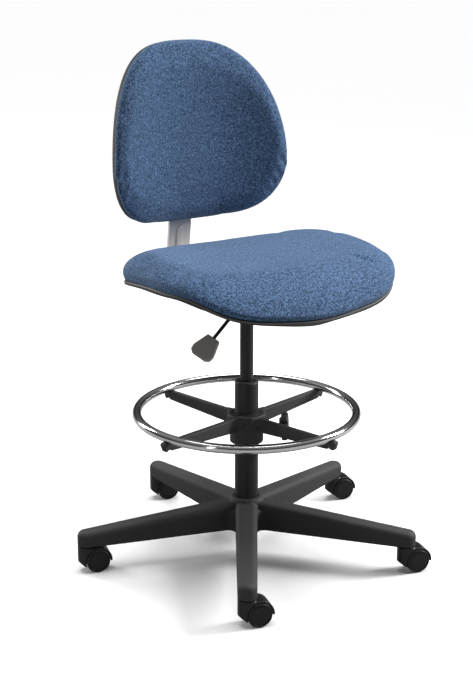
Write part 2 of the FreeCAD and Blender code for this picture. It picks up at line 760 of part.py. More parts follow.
def pan_loft(share, floor, rim_inset, drop):
    """Dish between a flat floor and a rim that follows the seat's edge."""
    steps = 48
    span = seat_curve.LastParameter - seat_curve.FirstParameter
    around = [seat_curve.value(seat_curve.FirstParameter + span * i / steps) for i in range(steps)]
    centre = Vector(0, -35, 0)
    shrink = 1 - rim_inset / 240
    rim = [centre + (point - centre) * shrink for point in around]
    wires = []
    for points in ([centre + (p - centre) * share + Vector(0, 0, floor) for p in around],
                   [Vector(p.x, p.y, edge_level(p.y) - drop) for p in rim],
                   [Vector(p.x, p.y, 690) for p in rim]):
        curve = Part.BSplineCurve()
        curve.interpolate(points, PeriodicFlag=True)
        wires.append(Part.Wire(curve.toShape()))
    return Part.makeLoft(wires, True, True)


nut_sink = 3.2      # from the board's top at the bolt down to the tee nut's flange
bolt_points = [(x * val("bolt_spacing_x") / 2, y * val("bolt_spacing_y") / 2)
               for x in (-1, 1) for y in (-1, 1)]


def seat_pan():
    """Moulded dish with bosses for the seat screws."""
    wall, trim = val("pan_wall"), val("seat_trim_width") + 2.5
    outside = pan_loft(val("pan_floor_share"), val("pan_floor"), trim, val("seat_trim_depth"))
    inside = pan_loft(val("pan_floor_share") - 0.01, val("pan_floor") + wall, trim + wall,
                      val("seat_trim_depth") - wall)
    pan = outside.cut(inside)
    for x, y in bolt_points:
        boss = Part.makeCylinder(11, 100, Vector(x, y, val("pan_floor")))
        pan = pan.fuse(boss)
    above = side_band(edge_curve, lifted(edge_curve, 150))
    pan = pan.cut(above)
    rim_top = -val("seat_trim_depth") - val("fit_gap")
    flange = seat_prism(val("fit_gap")).cut(seat_prism(trim + 3 * wall)).common(
        side_band(lifted(edge_curve, rim_top - val("pan_rim_depth")), lifted(edge_curve, rim_top)))
    pan = pan.fuse(flange)
    for x, y in bolt_points:
        pan = pan.cut(Part.makeCylinder(val("screw_radius") + val("fit_gap"), 100,
                                        Vector(x, y, val("pan_floor") - 5)))
    return pan


def seat_trim():
    """Edge band that wraps the rim of pan and board."""
    ring_prism = seat_prism(0).cut(seat_prism(val("seat_trim_width")))
    return ring_prism.common(side_band(lifted(edge_curve, -val("seat_trim_depth")), edge_curve))


def seat_board():
    """Moulded plywood inner, bolted through the pan."""
    inset = val("seat_trim_width") + 4
    board = seat_prism(inset).common(side_band(edge_curve, lifted(edge_curve, val("board_thickness"))))
    for x, y in bolt_points:
        board = board.cut(Part.makeCylinder(val("screw_radius") + 1.2, 100, Vector(x, y, 580)))
        level = edge_level(y) + val("board_thickness") - nut_sink
        board = board.cut(Part.makeCylinder(val("nut_flange_radius") + 0.5, 30, Vector(x, y, level)))
    return board


board_shape = seat_board()


def seat_cushion():
    """Plain closed form of the foam and its cover, hollow below for the board."""
    body = seat_prism(0).common(side_band(edge_curve, top_curve))
    cover = seat_prism(val("seat_trim_width") + 4).common(
        side_band(lifted(edge_curve, -2), lifted(edge_curve, val("board_thickness") + 2.5)))
    return body.cut(cover)


shaped("seat_pan", seat_pan())
shaped("seat_trim", seat_trim())
shaped("seat_board", board_shape)
shaped("seat_cushion", seat_cushion())

tee_nuts = []
seat_screws = []
plate_low = val("pan_floor") - val("plate_thickness")
for x, y in bolt_points:
    level = edge_level(y) + val("board_thickness") - nut_sink + val("fit_gap")
    barrel = Part.makeCylinder(val("screw_radius") + 1.1, val("board_thickness") - nut_sink - 2,
                               Vector(x, y, level - val("board_thickness") + nut_sink + 2))
    flange = Part.makeCylinder(val("nut_flange_radius"), val("nut_flange_height"), Vector(x, y, level))
    nut = barrel.fuse(flange)
    nut = nut.cut(Part.makeCylinder(val("screw_radius") + val("fit_gap"), 40, Vector(x, y, level - 20)))
    tee_nuts.append(nut)
    screw = round_head_screw(level - plate_low, val("screw_radius"), val("screw_head_radius"))
    screw.Placement = Placement(Vector(x, y, plate_low), Rotation())
    seat_screws.append(screw)
shaped("seat_tee_nuts", Part.makeCompound(tee_nuts))
shaped("seat_screws", Part.makeCompound(seat_screws))


# ---------------------------------------------------------------- seat mechanism

def mechanism_housing():
    """Folded steel box under a mounting plate; the column's socket is welded in its floor."""
    wall = val("plate_thickness")
    top = val("pan_floor")
    half, low = val("box_half_width"), val("box_bottom")
    body = block(-val("plate_half_width"), val("plate_half_width"), val("plate_front"), val("plate_rear"),
                 top - wall, top)
    upright = [edge for edge in body.Edges if abs(edge.tangentAt(0).z) > 0.9]
    body = body.makeFillet(14, upright)
    front, rear = val("box_front"), val("box_rear")
    box = block(-half, half, front, rear, low, top - wall)
    bends = [edge for edge in box.Edges if abs(edge.tangentAt(0).y) > 0.9 and edge.BoundBox.ZMax < low + 1]
    box = box.makeFillet(6, bends)
    inner = block(wall - half, half - wall, front - 1, rear + 1, low + wall, top - wall)
    bends = [edge for edge in inner.Edges
             if abs(edge.tangentAt(0).y) > 0.9 and edge.BoundBox.ZMax < low + wall + 1]
    box = box.cut(inner.makeFillet(3, bends))
    body = body.fuse(box)
    body = body.cut(Part.makeCylinder(val("socket_radius") + val("fit_gap"), 10, Vector(0, 0, low - 2)))
    slot = rod_between(9, Vector(-half - 5, val("lever_pivot_y"), val("lever_pivot_z")),
                       Vector(wall - half + 5, val("lever_pivot_y"), val("lever_pivot_z")))
    body = body.cut(slot)
    for x, y in bolt_points:
        body = body.cut(Part.makeCylinder(val("screw_radius") + val("fit_gap"), 20, Vector(x, y, top - 10)))
    return body.removeSplitter()


shaped("mechanism_housing", mechanism_housing())
tube_fit = "tube_radius + fit_gap"
spun("taper_socket", [
    (tube_fit, "box_bottom - 4"), ("socket_radius - 2", "box_bottom - 4"),
    ("socket_radius", "box_bottom - 2"),
    ("socket_radius", "tube_top - 4"), ("socket_radius - 2", "tube_top - 2"),
    (tube_fit + " - taper_drop * (tube_top - 2 - box_bottom + 4) / (tube_top - box_bottom + 4)",
     "tube_top - 2")])

channel = new_body("depth_channel")
pad(channel, "XZ_Plane", box_corners("-channel_half_width", "channel_half_width", "channel_bottom",
                                     "pan_floor - plate_thickness"), "channel_rear - channel_front")
doc.recompute()
bar_slot = box_corners("-bar_half_width - running_gap", "bar_half_width + running_gap",
                       "bar_level - bar_thickness / 2 - running_gap",
                       "bar_level + bar_thickness / 2 + running_gap")
cut_hole(channel, "XZ_Plane", bar_slot, "channel_rear * 2")
doc.recompute()
stud_hole = channel.newObject("PartDesign::SubtractiveCylinder", "channel_stud_hole")
stud_hole.setExpression("Radius", bound("stud_radius + running_gap"))
stud_hole.setExpression("Height", bound("bar_level - channel_bottom"))
stud_hole.setExpression("Placement.Base.y", bound("depth_knob_y - (channel_front + channel_rear) / 2"))
stud_hole.setExpression("Placement.Base.z", bound("channel_bottom - 1"))
channel.Placement = Placement(Vector(0, (val("channel_front") + val("channel_rear")) / 2, 0), Rotation())

down = Placement(Vector(0, val("depth_knob_y"), val("channel_bottom") - 4), Rotation(Vector(1, 0, 0), 180))
fluted_knob("depth_knob", "small_knob_radius", "small_knob_depth", 7, down)
stud("depth_stud", "0 - 4 - bar_level + bar_thickness / 2 + channel_bottom + free_gap",
     "small_knob_depth * 0.55", down)


# ---------------------------------------------------------------- release lever

pivot = Vector(val("lever_pivot_x"), val("lever_pivot_y"), val("lever_pivot_z"))
slope = math.radians(val("lever_drop"))
outer_run = Vector(-math.cos(slope), 0, -math.sin(slope))


def lever_rod():
    """Bent wire rod from over the release button, through the box wall, to the paddle."""
    radius = val("lever_radius")
    over = val("tube_top") + val("button_height") + val("free_gap") + radius
    points = [Vector(3, 0, over), Vector(-23, -15, over), pivot,
              pivot + outer_run * (val("lever_reach") + 30)]
    rod = Part.makeSphere(radius, points[0])
    for start, end in zip(points, points[1:]):
        rod = rod.fuse([rod_between(radius, start, end), Part.makeSphere(radius, end)])
    across = Vector(0, val("lever_collar_half"), 0)
    return rod.fuse(rod_between(val("lever_collar_radius"), pivot - across, pivot + across)).removeSplitter()


shaped("lever_rod", lever_rod())

paddle_frame = Rotation(Vector(0, -1, 0), outer_run.cross(Vector(0, -1, 0)), outer_run, "ZXY")
paddle_frame = paddle_frame.multiply(Rotation(Vector(0, 0, 1), val("paddle_roll")))


def lever_paddle():
    """Rounded, tapering grip pushed on the rod's end; built with its length along Z."""
    length, thick = val("paddle_length"), val("paddle_thickness")
    narrow, wide = val("paddle_narrow") / 2, val("paddle_wide") / 2
    right = [Vector(narrow, 0, 0), Vector(wide, 0, length * 0.66), Vector(wide - 1.5, 0, length * 0.88),
             Vector(wide * 0.62, 0, length)]
    corners = [Vector(-point.x, 0, point.z) for point in reversed(right)] + right
    grip = Part.Face(section_wire(corners)).extrude(Vector(0, thick, 0))
    grip.translate(Vector(0, -thick / 2, 0))
    grip = grip.makeFillet(3.5, [edge for edge in grip.Edges if abs(edge.tangentAt(0).y) > 0.9])
    rims = [edge for edge in grip.Edges if edge.BoundBox.YLength < 0.01]
    grip = grip.makeFillet(2.5, rims)
    return grip.cut(Part.makeCylinder(val("lever_radius") + val("fit_gap"), 36, Vector(0, 0, -1)))


shaped("lever_paddle", lever_paddle(),
       Placement(pivot + outer_run * val("lever_reach"), paddle_frame))


# ---------------------------------------------------------------- back bar

back_place = Placement(Vector(0, val("back_y"), val("back_z")), Rotation(Vector(1, 0, 0), -val("back_lean")))


def back_bar():
    """Flat steel bar: a run under the seat, a bend up, and a straight run behind the back."""
    thick, half = val("bar_thickness"), val("bar_half_width")
    straight_low = back_place.multVec(Vector(0, val("bar_offset"), -15.5))
    straight_high = back_place.multVec(Vector(0, val("bar_offset"), val("bar_top")))
    lean = math.radians(val("bar_lean"))
    level = val("bar_level") + thick / 2
    fall = straight_low.z - level
    corner = Vector(0, straight_low.y + fall * math.tan(lean), level)
    face_side = [Vector(0, val("bar_front"), level), corner, straight_low, straight_high]
    up = (straight_high - straight_low).normalize()
    back = Vector(0, up.z, -up.y)
    low_run = (straight_low - corner).normalize()
    low_back = Vector(0, low_run.z, -low_run.y)
    outer_low = corner + low_back * thick
    drop = outer_low.z - level + thick
    rear_corner = Vector(0, outer_low.y - low_run.y / low_run.z * drop, level - thick)
    rear_side = [Vector(0, val("bar_front"), level - thick), rear_corner, straight_low + back * thick,
                 straight_high + back * thick]
    wire = section_wire(face_side + rear_side[::-1])
    bar = Part.Face(wire).extrude(Vector(2 * half, 0, 0))
    bar.translate(Vector(-half, 0, 0))
    inner = [edge for edge in bar.Edges if (edge.CenterOfMass - corner).Length < 1]
    bar = bar.makeFillet(val("bar_bend"), inner)
    outer = [edge for edge in bar.Edges if (edge.CenterOfMass - rear_corner).Length < 1]
    bar = bar.makeFillet(val("bar_bend") + thick, outer)
    tops = [edge for edge in bar.Edges
            if abs(edge.tangentAt(0).x) < 0.1 and edge.BoundBox.ZMin > straight_high.z - 2]
    bar = bar.makeFillet(8, tops)
    bead_low = straight_low - low_run * (val("bead_length") + 10)
    bead_high = straight_low - low_run * 10
    bead = block(-val("bead_half_width"), val("bead_half_width"), -val("bead_height"), 1,
                 0, val("bead_length"))
    for end in (0, val("bead_length")):
        bead = bead.fuse(Part.makeCylinder(val("bead_half_width"), val("bead_height") + 1,
                                           Vector(0, -val("bead_height"), end), Vector(0, 1, 0)))
    bead = bead.removeSplitter()
    front = [edge for edge in bead.Edges if edge.BoundBox.YMax < 0.1 - val("bead_height")]
    bead = bead.makeFillet(val("bead_height") * 0.8, front)
    lean = math.degrees(math.atan2(-low_run.y, low_run.z))
    bead.Placement = Placement(bead_low, Rotation(Vector(1, 0, 0), lean))
    return bar.fuse(bead).removeSplitter()


shaped("back_bar", back_bar())

# ---------------------------------------------------------------- backrest

bracket = new_body("back_bracket", back_place)
pad(bracket, "XY_Plane", box_corners("-bracket_half_width", "bracket_half_width", "0", "bracket_rear"),
    "bracket_length", False)
doc.recompute()
cut_hole(bracket, "XY_Plane", box_corners("-bar_half_width - running_gap", "bar_half_width + running_gap",
                                          "bar_offset - running_gap",
                                          "bar_offset + bar_thickness + running_gap"),
         "bracket_length * 3")
rounded(bracket, "4", lambda edge: edge.Length > 80 and edge.BoundBox.YMin > val("bracket_rear") - 0.1)
doc.recompute()
screw_hole = bracket.newObject("PartDesign::SubtractiveCylinder", "bracket_stud_hole")
screw_hole.setExpression("Radius", bound("stud_radius + running_gap"))
screw_hole.setExpression("Height", bound("bracket_rear"))
screw_hole.Placement = Placement(Vector(), Rotation(Vector(1, 0, 0), -90))
screw_hole.setExpression("Placement.Base.y", bound("bar_offset + bar_thickness / 2"))
screw_hole.setExpression("Placement.Base.z", bound("bracket_length / 2"))
bracket.Placement = back_place.multiply(Placement(Vector(0, 0, val("bracket_bottom")), Rotation()))
bracket_holes = [Vector(side * (val("bar_half_width") + val("bracket_half_width") + 0.3) / 2,
                        val("bracket_rear"), val("bracket_bottom") + share * val("bracket_length"))
                 for side in (-1, 1) for share in (0.12, 0.88)]
for number, point in enumerate(bracket_holes):
    hole = bracket.newObject("PartDesign::SubtractiveCylinder", f"bracket_screw_hole_{number}")
    hole.setExpression("Radius", bound("small_screw_radius + fit_gap"))
    hole.setExpression("Height", bound("bracket_rear + 2"))
    hole.Placement = Placement(Vector(point.x, -1, point.z - val("bracket_bottom")),
                               Rotation(Vector(1, 0, 0), -90))

rear_axis = back_place.multiply(Placement(
    Vector(0, val("bracket_rear") + 4, val("bracket_bottom") + val("bracket_length") / 2),
    Rotation(Vector(1, 0, 0), -90)))
fluted_knob("height_knob", "small_knob_radius", "small_knob_depth", 7, rear_axis)
stud("height_stud", "0 - 4 - bracket_rear + bar_offset + bar_thickness + free_gap", "small_knob_depth * 0.55",
     rear_axis)


def back_outline(inset):
    """Rounded outline of the back, wider below, as a curve in its XZ plane."""
    half = val("back_width") / 2 - inset
    below = val("back_height") * val("back_widest")
    above = val("back_height") - below
    points = []
    steps = 40
    for i in range(steps):
        angle = 2 * math.pi * i / steps
        c, s = math.cos(angle), math.sin(angle)
        side_power, rise_power = (2 / 2.82, 2 / 1.89) if s >= 0 else (2 / 4.44, 2 / 1.74)
        rise = (above if s >= 0 else below) - inset
        points.append(Vector(math.copysign(half * abs(c) ** side_power, c), 0,
                             below + math.copysign(rise * abs(s) ** rise_power, s)))
    curve = Part.BSplineCurve()
    curve.interpolate(points, PeriodicFlag=True)
    return curve


def back_layer(inset, front, rear):
    """The back's outline between two depths in front of its curved rear face."""
    prism = Part.Face(Part.Wire(back_outline(inset).toShape())).extrude(Vector(0, 260, 0))
    prism.translate(Vector(0, -255, 0))
    centre = Vector(0, -val("back_curve"), -50)
    outer = Part.makeCylinder(val("back_curve") - rear, 600, centre)
    inner = Part.makeCylinder(val("back_curve") - front, 600, centre)
    return prism.common(outer.cut(inner))


shell_inset = val("back_trim_inset") + 1.5
shell = back_layer(shell_inset, val("back_shell"), 0)
seat_of_bracket = block(-val("bracket_half_width"), val("bracket_half_width"), -4, 0, val("bracket_bottom"),
                        val("bracket_bottom") + val("bracket_length"))
shell = shell.fuse(seat_of_bracket.common(back_layer(shell_inset, val("back_shell"), -10)))
for point in bracket_holes:
    shell = shell.cut(rod_between(val("small_screw_radius") + val("fit_gap"), point,
                                  Vector(point.x, -3.2, point.z)))
shaped("back_shell", shell, back_place)
trim_front = val("back_shell") + val("back_trim_depth")
trim_inset = val("back_trim_inset")
inner_inset = trim_inset + val("back_trim_width")
band = back_layer(trim_inset, trim_front, 1).cut(back_layer(inner_inset, trim_front + 1, 0))
band = band.cut(back_layer(trim_inset + 1.4, val("back_shell") + 0.02, -2))
shaped("back_trim", band, back_place)
cushion = back_layer(inner_inset + 0.1, 230, val("back_shell") + 0.02)
cushion = cushion.fuse(back_layer(0, 230, trim_front + 0.1))
front = Part.makeCylinder(val("back_front_curve"), 600,
                          Vector(0, -val("back_thickness") - val("back_front_curve"), -50))
shaped("back_cushion", cushion.cut(front), back_place)

back_screws = []
for point in bracket_holes:
    screw = round_head_screw(val("bracket_rear") + 3, val("small_screw_radius"), val("small_screw_head"))
    screw.Placement = Placement(point, Rotation(Vector(1, 0, 0), 90))
    back_screws.append(screw)
shaped("bracket_screws", Part.makeCompound(back_screws), back_place)

doc.recompute()
for item in doc.Objects:
    if {"Invalid", "Error"} & set(item.State):
        raise RuntimeError(f"{item.Label} failed: {item.State}")
os.makedirs("parts", exist_ok=True)
for piece in parts:
    solids = piece.Shape.Solids
    if piece.Shape.isNull() or not piece.Shape.isValid() or not solids:
        raise RuntimeError(f"{piece.Label} has no valid shape")
    if min(solid.Volume for solid in solids) <= 0:
        raise RuntimeError(f"{piece.Label} is inside out")
    piece.Shape.exportStep(f"parts/{piece.Label}.step")
print(f"{len(parts)} sub-parts written")
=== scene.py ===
"""Drafting chair: contoured blue upholstery on a gas column, with a chrome foot ring and a five-arm base.

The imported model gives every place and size.  This script adds the upholstery and the finer moulded pieces,
dresses every piece in its finish, and sets up a pale studio around the chair.  Units are metres.
"""

import json
import logging
import math
from dataclasses import dataclass
from enum import Enum
from typing import Callable

import bmesh
import bpy
import numpy as np
from mathutils import Matrix, Vector

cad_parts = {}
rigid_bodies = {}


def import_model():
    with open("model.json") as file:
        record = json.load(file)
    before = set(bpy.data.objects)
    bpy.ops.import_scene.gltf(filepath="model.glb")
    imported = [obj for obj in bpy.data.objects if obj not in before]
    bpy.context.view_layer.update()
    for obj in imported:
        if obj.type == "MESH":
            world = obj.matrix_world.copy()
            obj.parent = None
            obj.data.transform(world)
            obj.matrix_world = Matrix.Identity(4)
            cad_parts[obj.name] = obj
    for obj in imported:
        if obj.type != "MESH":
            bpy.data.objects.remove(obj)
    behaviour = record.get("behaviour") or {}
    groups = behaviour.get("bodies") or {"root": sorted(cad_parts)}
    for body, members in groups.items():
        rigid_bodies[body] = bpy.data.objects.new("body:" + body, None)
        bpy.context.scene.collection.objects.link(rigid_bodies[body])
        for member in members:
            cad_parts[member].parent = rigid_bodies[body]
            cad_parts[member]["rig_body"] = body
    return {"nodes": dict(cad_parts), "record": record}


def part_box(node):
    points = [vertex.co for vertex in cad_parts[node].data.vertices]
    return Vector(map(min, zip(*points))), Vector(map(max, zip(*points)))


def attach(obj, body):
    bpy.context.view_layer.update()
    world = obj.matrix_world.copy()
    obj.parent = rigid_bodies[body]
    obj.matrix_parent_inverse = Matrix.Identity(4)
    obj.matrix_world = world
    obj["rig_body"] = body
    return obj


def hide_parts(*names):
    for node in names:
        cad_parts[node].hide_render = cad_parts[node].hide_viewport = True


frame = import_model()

log = logging.getLogger("drafting_chair")
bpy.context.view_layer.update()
CASTERS = range(1, 6)


# -------------------------------------------------------------------------------- mesh helpers

def deselect_all() -> None:
    """Leave object mode with nothing selected."""
    if bpy.context.object and bpy.context.object.mode != "OBJECT":
        bpy.ops.object.mode_set(mode="OBJECT")
    bpy.ops.object.select_all(action="DESELECT")


def activate(piece: bpy.types.Object) -> bpy.types.Object:
    """Make one object the only selected and the active one."""
    deselect_all()
    piece.select_set(True)
    bpy.context.view_layer.objects.active = piece
    return piece


def apply_modifier(piece: bpy.types.Object, kind: str, **settings: object) -> None:
    """Add a modifier, set it up and apply it at once.

    Args:
        piece: The mesh object to change.
        kind: The modifier's type, such as "BEVEL".
        settings: The modifier's properties.
    """
    activate(piece)
    modifier = piece.modifiers.new(kind.lower(), kind)
    for name, value in settings.items():
        setattr(modifier, name, value)
    bpy.ops.object.modifier_apply(modifier=modifier.name)


def shade_smooth(piece: bpy.types.Object, angle: float = 40.0) -> None:
    """Shade a piece smooth, except where its faces meet at more than the angle in degrees."""
    activate(piece)
    bpy.ops.object.shade_smooth_by_angle(angle=math.radians(angle))


def mesh_object(name: str, points: list[Vector], faces: list[list[int]]) -> bpy.types.Object:
    """Make an object from points and faces, with its normals outwards.

    Args:
        name: The piece's name.
        points: Its vertices, in the chair's frame.
        faces: Indices into the points.

    Returns:
        The new object, linked to the scene.
    """
    mesh = bpy.data.meshes.new(name)
    mesh.from_pydata([tuple(point) for point in points], [], faces)
    piece = bpy.data.objects.new(name, mesh)
    bpy.context.scene.collection.objects.link(piece)
    edit = bmesh.new()
    edit.from_mesh(mesh)
    bmesh.ops.recalc_face_normals(edit, faces=edit.faces)
    edit.to_mesh(mesh)
    edit.free()
    return piece


def ring_mesh(name: str, rings: list[list[Vector]]) -> bpy.types.Object:
    """Skin a closed form over rings of equal length, each end closed by a fan.

    Args:
        name: The piece's name.
        rings: The rings from one end of the form to the other.

    Returns:
        The closed object.
    """
    count = len(rings[0])
    points = [point for ring in rings for point in ring]
    faces = []
    for row in range(len(rings) - 1):
        for i in range(count):
            j = (i + 1) % count
            low, high = row * count, (row + 1) * count
            faces.append([low + i, low + j, high + j, high + i])
    for ring, start in ((rings[0], 0), (rings[-1], (len(rings) - 1) * count)):
        points.append(sum(ring, Vector()) / count)
        centre = len(points) - 1
        faces += [[start + i, start + (i + 1) % count, centre] for i in range(count)]
    return mesh_object(name, points, faces)


def moulded_copy(node: str, name: str, voxel: float, rounds: int) -> bpy.types.Object:
    """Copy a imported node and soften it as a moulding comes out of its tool.

    Args:
        node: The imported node.
        name: The new piece's name.
        voxel: Size of the new faces.
        rounds: How many times the surface is smoothed.

    Returns:
        The new object, with rounded edges and filled inner corners.
    """
    source = frame["nodes"][node]
    piece = source.copy()
    piece.data = source.data.copy()
    piece.name = name
    piece.parent = None
    piece.hide_render = False
    bpy.context.scene.collection.objects.link(piece)
    activate(piece)
    bpy.ops.object.mode_set(mode="EDIT")
    bpy.ops.mesh.select_all(action="SELECT")
    bpy.ops.mesh.remove_doubles(threshold=1e-5)
    bpy.ops.object.mode_set(mode="OBJECT")
    apply_modifier(piece, "REMESH", mode="VOXEL", voxel_size=voxel)
    apply_modifier(piece, "SMOOTH", factor=0.5, iterations=rounds)
    shade_smooth(piece, 80)
    return piece


def spun_piece(name: str, profile: list[tuple[float, float]], place: Matrix,
               steps: int = 96) -> bpy.types.Object:
    """Turn a profile about its axis, as on a lathe.

    Args:
        name: The piece's name.
        profile: (radius, height) corners along the section; a closed section ends where it starts.
        place: Puts the lathe's axis, its own Z, in the chair's frame.
        steps: Faces around the axis.

    Returns:
        The closed object.
    """
    mesh = bpy.data.meshes.new(name)
    mesh.from_pydata([(radius, 0.0, height) for radius, height in profile],
                     [(i, i + 1) for i in range(len(profile) - 1)], [])
    piece = bpy.data.objects.new(name, mesh)
    bpy.context.scene.collection.objects.link(piece)
    activate(piece)
    bpy.ops.object.mode_set(mode="EDIT")
    bpy.ops.mesh.select_all(action="SELECT")
    bpy.ops.mesh.spin(steps=steps, angle=2 * math.pi, center=(0, 0, 0), axis=(0, 0, 1))
    bpy.ops.mesh.select_all(action="SELECT")
    bpy.ops.mesh.remove_doubles(threshold=1e-6)
    bpy.ops.mesh.normals_make_consistent(inside=False)
    bpy.ops.object.mode_set(mode="OBJECT")
    piece.data.transform(place)
    return piece


def swept_band(name: str, loops: list[list[Vector]]) -> bpy.types.Object:
    """Skin a band that closes on itself both ways: one loop for each point of its section."""
    count, rows = len(loops[0]), len(loops)
    points = [point for loop in loops for point in loop]
    faces = []
    for row in range(rows):
        low, high = row * count, (row + 1) % rows * count
        faces += [[low + i, low + (i + 1) % count, high + (i + 1) % count, high + i] for i in range(count)]
    return mesh_object(name, points, faces)


def rounded_section(width: float, height: float, radius: float, turns: int = 4) -> list[tuple[float, float]]:
    """Corners of a rectangle from (0, 0) to (width, height), each rounded off."""
    section = []
    for index, (x, y) in enumerate(((radius, radius), (width - radius, radius),
                                    (width - radius, height - radius), (radius, height - radius))):
        for step in range(turns + 1):
            angle = math.pi + index * math.pi / 2 + step / turns * math.pi / 2
            section.append((x + radius * math.cos(angle), y + radius * math.sin(angle)))
    return section


def centre_of(node: str) -> Vector:
    """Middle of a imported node's box."""
    low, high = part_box(node)
    return (low + high) / 2


# -------------------------------------------------------------------------------- smooth curves

class ClosedCurve:
    """Smooth periodic curve through a few points, by a cubic spline on chord length."""

    def __init__(self, points: list[tuple[float, float]]) -> None:
        """Fit the spline.

        Args:
            points: The corners of the outline, once round.
        """
        knots = np.array(points + points[:1], float)
        steps = np.linalg.norm(np.diff(knots, axis=0), axis=1)
        self.at = np.concatenate([[0], np.cumsum(steps)])
        self.knots = knots
        count = len(points)
        matrix = np.zeros((count, count))
        right = np.zeros((count, 2))
        for i in range(count):
            before, after = steps[i - 1], steps[i]
            matrix[i, i - 1] += before
            matrix[i, i] += 2 * (before + after)
            matrix[i, (i + 1) % count] += after
            coming = (knots[i] - knots[i - 1 if i else -2]) / before
            right[i] = 6 * ((knots[i + 1] - knots[i]) / after - coming)
        bend = np.linalg.solve(matrix, right)
        self.bend = np.vstack([bend, bend[:1]])

    def point(self, share: float) -> Vector:
        """Point at a share of the way round, from 0 to 1."""
        along = (share % 1.0) * self.at[-1]
        i = min(int(np.searchsorted(self.at, along, side="right")) - 1, len(self.at) - 2)
        width = self.at[i + 1] - self.at[i]
        a, b = (self.at[i + 1] - along) / width, (along - self.at[i]) / width
        value = (a * self.knots[i] + b * self.knots[i + 1]
                 + ((a ** 3 - a) * self.bend[i] + (b ** 3 - b) * self.bend[i + 1]) * width ** 2 / 6)
        return Vector((value[0], value[1], 0))

    def frame(self, share: float) -> tuple[Vector, Vector]:
        """Point and inward direction at a share of the way round."""
        step = 1e-3
        along = self.point(share + step) - self.point(share - step)
        return self.point(share), Vector((-along.y, along.x, 0)).normalized()


def smooth_value(table: list[tuple[float, float]], x: float) -> float:
    """Value of a gentle curve through a table of (x, value) pairs."""
    xs, values = [row[0] for row in table], [row[1] for row in table]
    x = min(max(x, xs[0]), xs[-1])
    i = min(max(j for j in range(len(xs)) if xs[j] <= x), len(xs) - 2)

    def slope(j: int) -> float:
        """Slope at a table row, from its neighbours."""
        low, high = max(j - 1, 0), min(j + 1, len(xs) - 1)
        return (values[high] - values[low]) / (xs[high] - xs[low])

    width = xs[i + 1] - xs[i]
    t = (x - xs[i]) / width
    return ((2 * t ** 3 - 3 * t ** 2 + 1) * values[i] + (t ** 3 - 2 * t ** 2 + t) * width * slope(i)
            + (3 * t ** 2 - 2 * t ** 3) * values[i + 1] + (t ** 3 - t ** 2) * width * slope(i + 1))


# -------------------------------------------------------------------------------- shader groups

class Nodes:
    """Small builder for the nodes of a material or a node group."""

    def __init__(self, tree: bpy.types.NodeTree) -> None:
        """Work on one tree."""
        self.tree = tree

    def add(self, kind: str, **settings: object) -> bpy.types.Node:
        """Add a node and set its properties."""
        node = self.tree.nodes.new(kind)
        for name, value in settings.items():
            setattr(node, name, value)
        return node

    def link(self, source: bpy.types.NodeSocket, target: bpy.types.NodeSocket) -> None:
        """Join two sockets."""
        self.tree.links.new(source, target)

    def math(self, kind: str, first: object, second: object = 0.0,
             clamp: bool = False) -> bpy.types.NodeSocket:
        """Add a Math node fed by sockets or numbers.

        Args:
            kind: The operation.
            first: A socket or a number.
            second: A socket or a number.
            clamp: Whether the result stays between 0 and 1.

        Returns:
            The node's output.
        """
        node = self.add("ShaderNodeMath", operation=kind, use_clamp=clamp)
        for index, value in enumerate((first, second)):
            if isinstance(value, bpy.types.NodeSocket):
                self.link(value, node.inputs[index])
            else:
                node.inputs[index].default_value = value
        return node.outputs[0]

    def noise(self, vector: bpy.types.NodeSocket, scale: object, detail: float = 2.0,
              rough: float = 0.5) -> bpy.types.NodeSocket:
        """Noise of one scale, as a factor."""
        node = self.add("ShaderNodeTexNoise")
        self.link(vector, node.inputs["Vector"])
        if isinstance(scale, bpy.types.NodeSocket):
            self.link(scale, node.inputs["Scale"])
        else:
            node.inputs["Scale"].default_value = scale
        node.inputs["Detail"].default_value = detail
        node.inputs["Roughness"].default_value = rough
        return node.outputs["Fac"]

    def remap(self, value: bpy.types.NodeSocket, low: float, high: float, out_low: float = 0.0,
              out_high: float = 1.0) -> bpy.types.NodeSocket:
        """Stretch a value from one range to another, with smooth ends."""
        node = self.add("ShaderNodeMapRange", interpolation_type="SMOOTHSTEP")
        self.link(value, node.inputs["Value"])
        for name, number in (("From Min", low), ("From Max", high),
                             ("To Min", out_low), ("To Max", out_high)):
            node.inputs[name].default_value = number
        return node.outputs["Result"]

    def mix(self, factor: object, first: object, second: object) -> bpy.types.NodeSocket:
        """Mix two colours, each a socket or an RGB triple."""
        node = self.add("ShaderNodeMix", data_type="RGBA")
        for socket, value in ((node.inputs[0], factor), (node.inputs[6], first), (node.inputs[7], second)):
            if isinstance(value, bpy.types.NodeSocket):
                self.link(value, socket)
            elif isinstance(value, tuple):
                socket.default_value = (*value, 1.0)
            else:
                socket.default_value = value
        return node.outputs[2]


def new_group(name: str, inputs: dict[str, float], outputs: dict[str, str]) -> tuple[Nodes, object, object]:
    """Start a shader node group.

    Args:
        name: The group's name.
        inputs: Its float inputs and their defaults.
        outputs: Its outputs and their socket types.

    Returns:
        The builder, the group's input node and its output node.
    """
    tree = bpy.data.node_groups.new(name, "ShaderNodeTree")
    for label, default in inputs.items():
        socket = tree.interface.new_socket(label, in_out="INPUT", socket_type="NodeSocketFloat")
        socket.default_value = default
    for label, kind in outputs.items():
        tree.interface.new_socket(label, in_out="OUTPUT", socket_type=kind)
    nodes = Nodes(tree)
    return nodes, nodes.add("NodeGroupInput"), nodes.add("NodeGroupOutput")


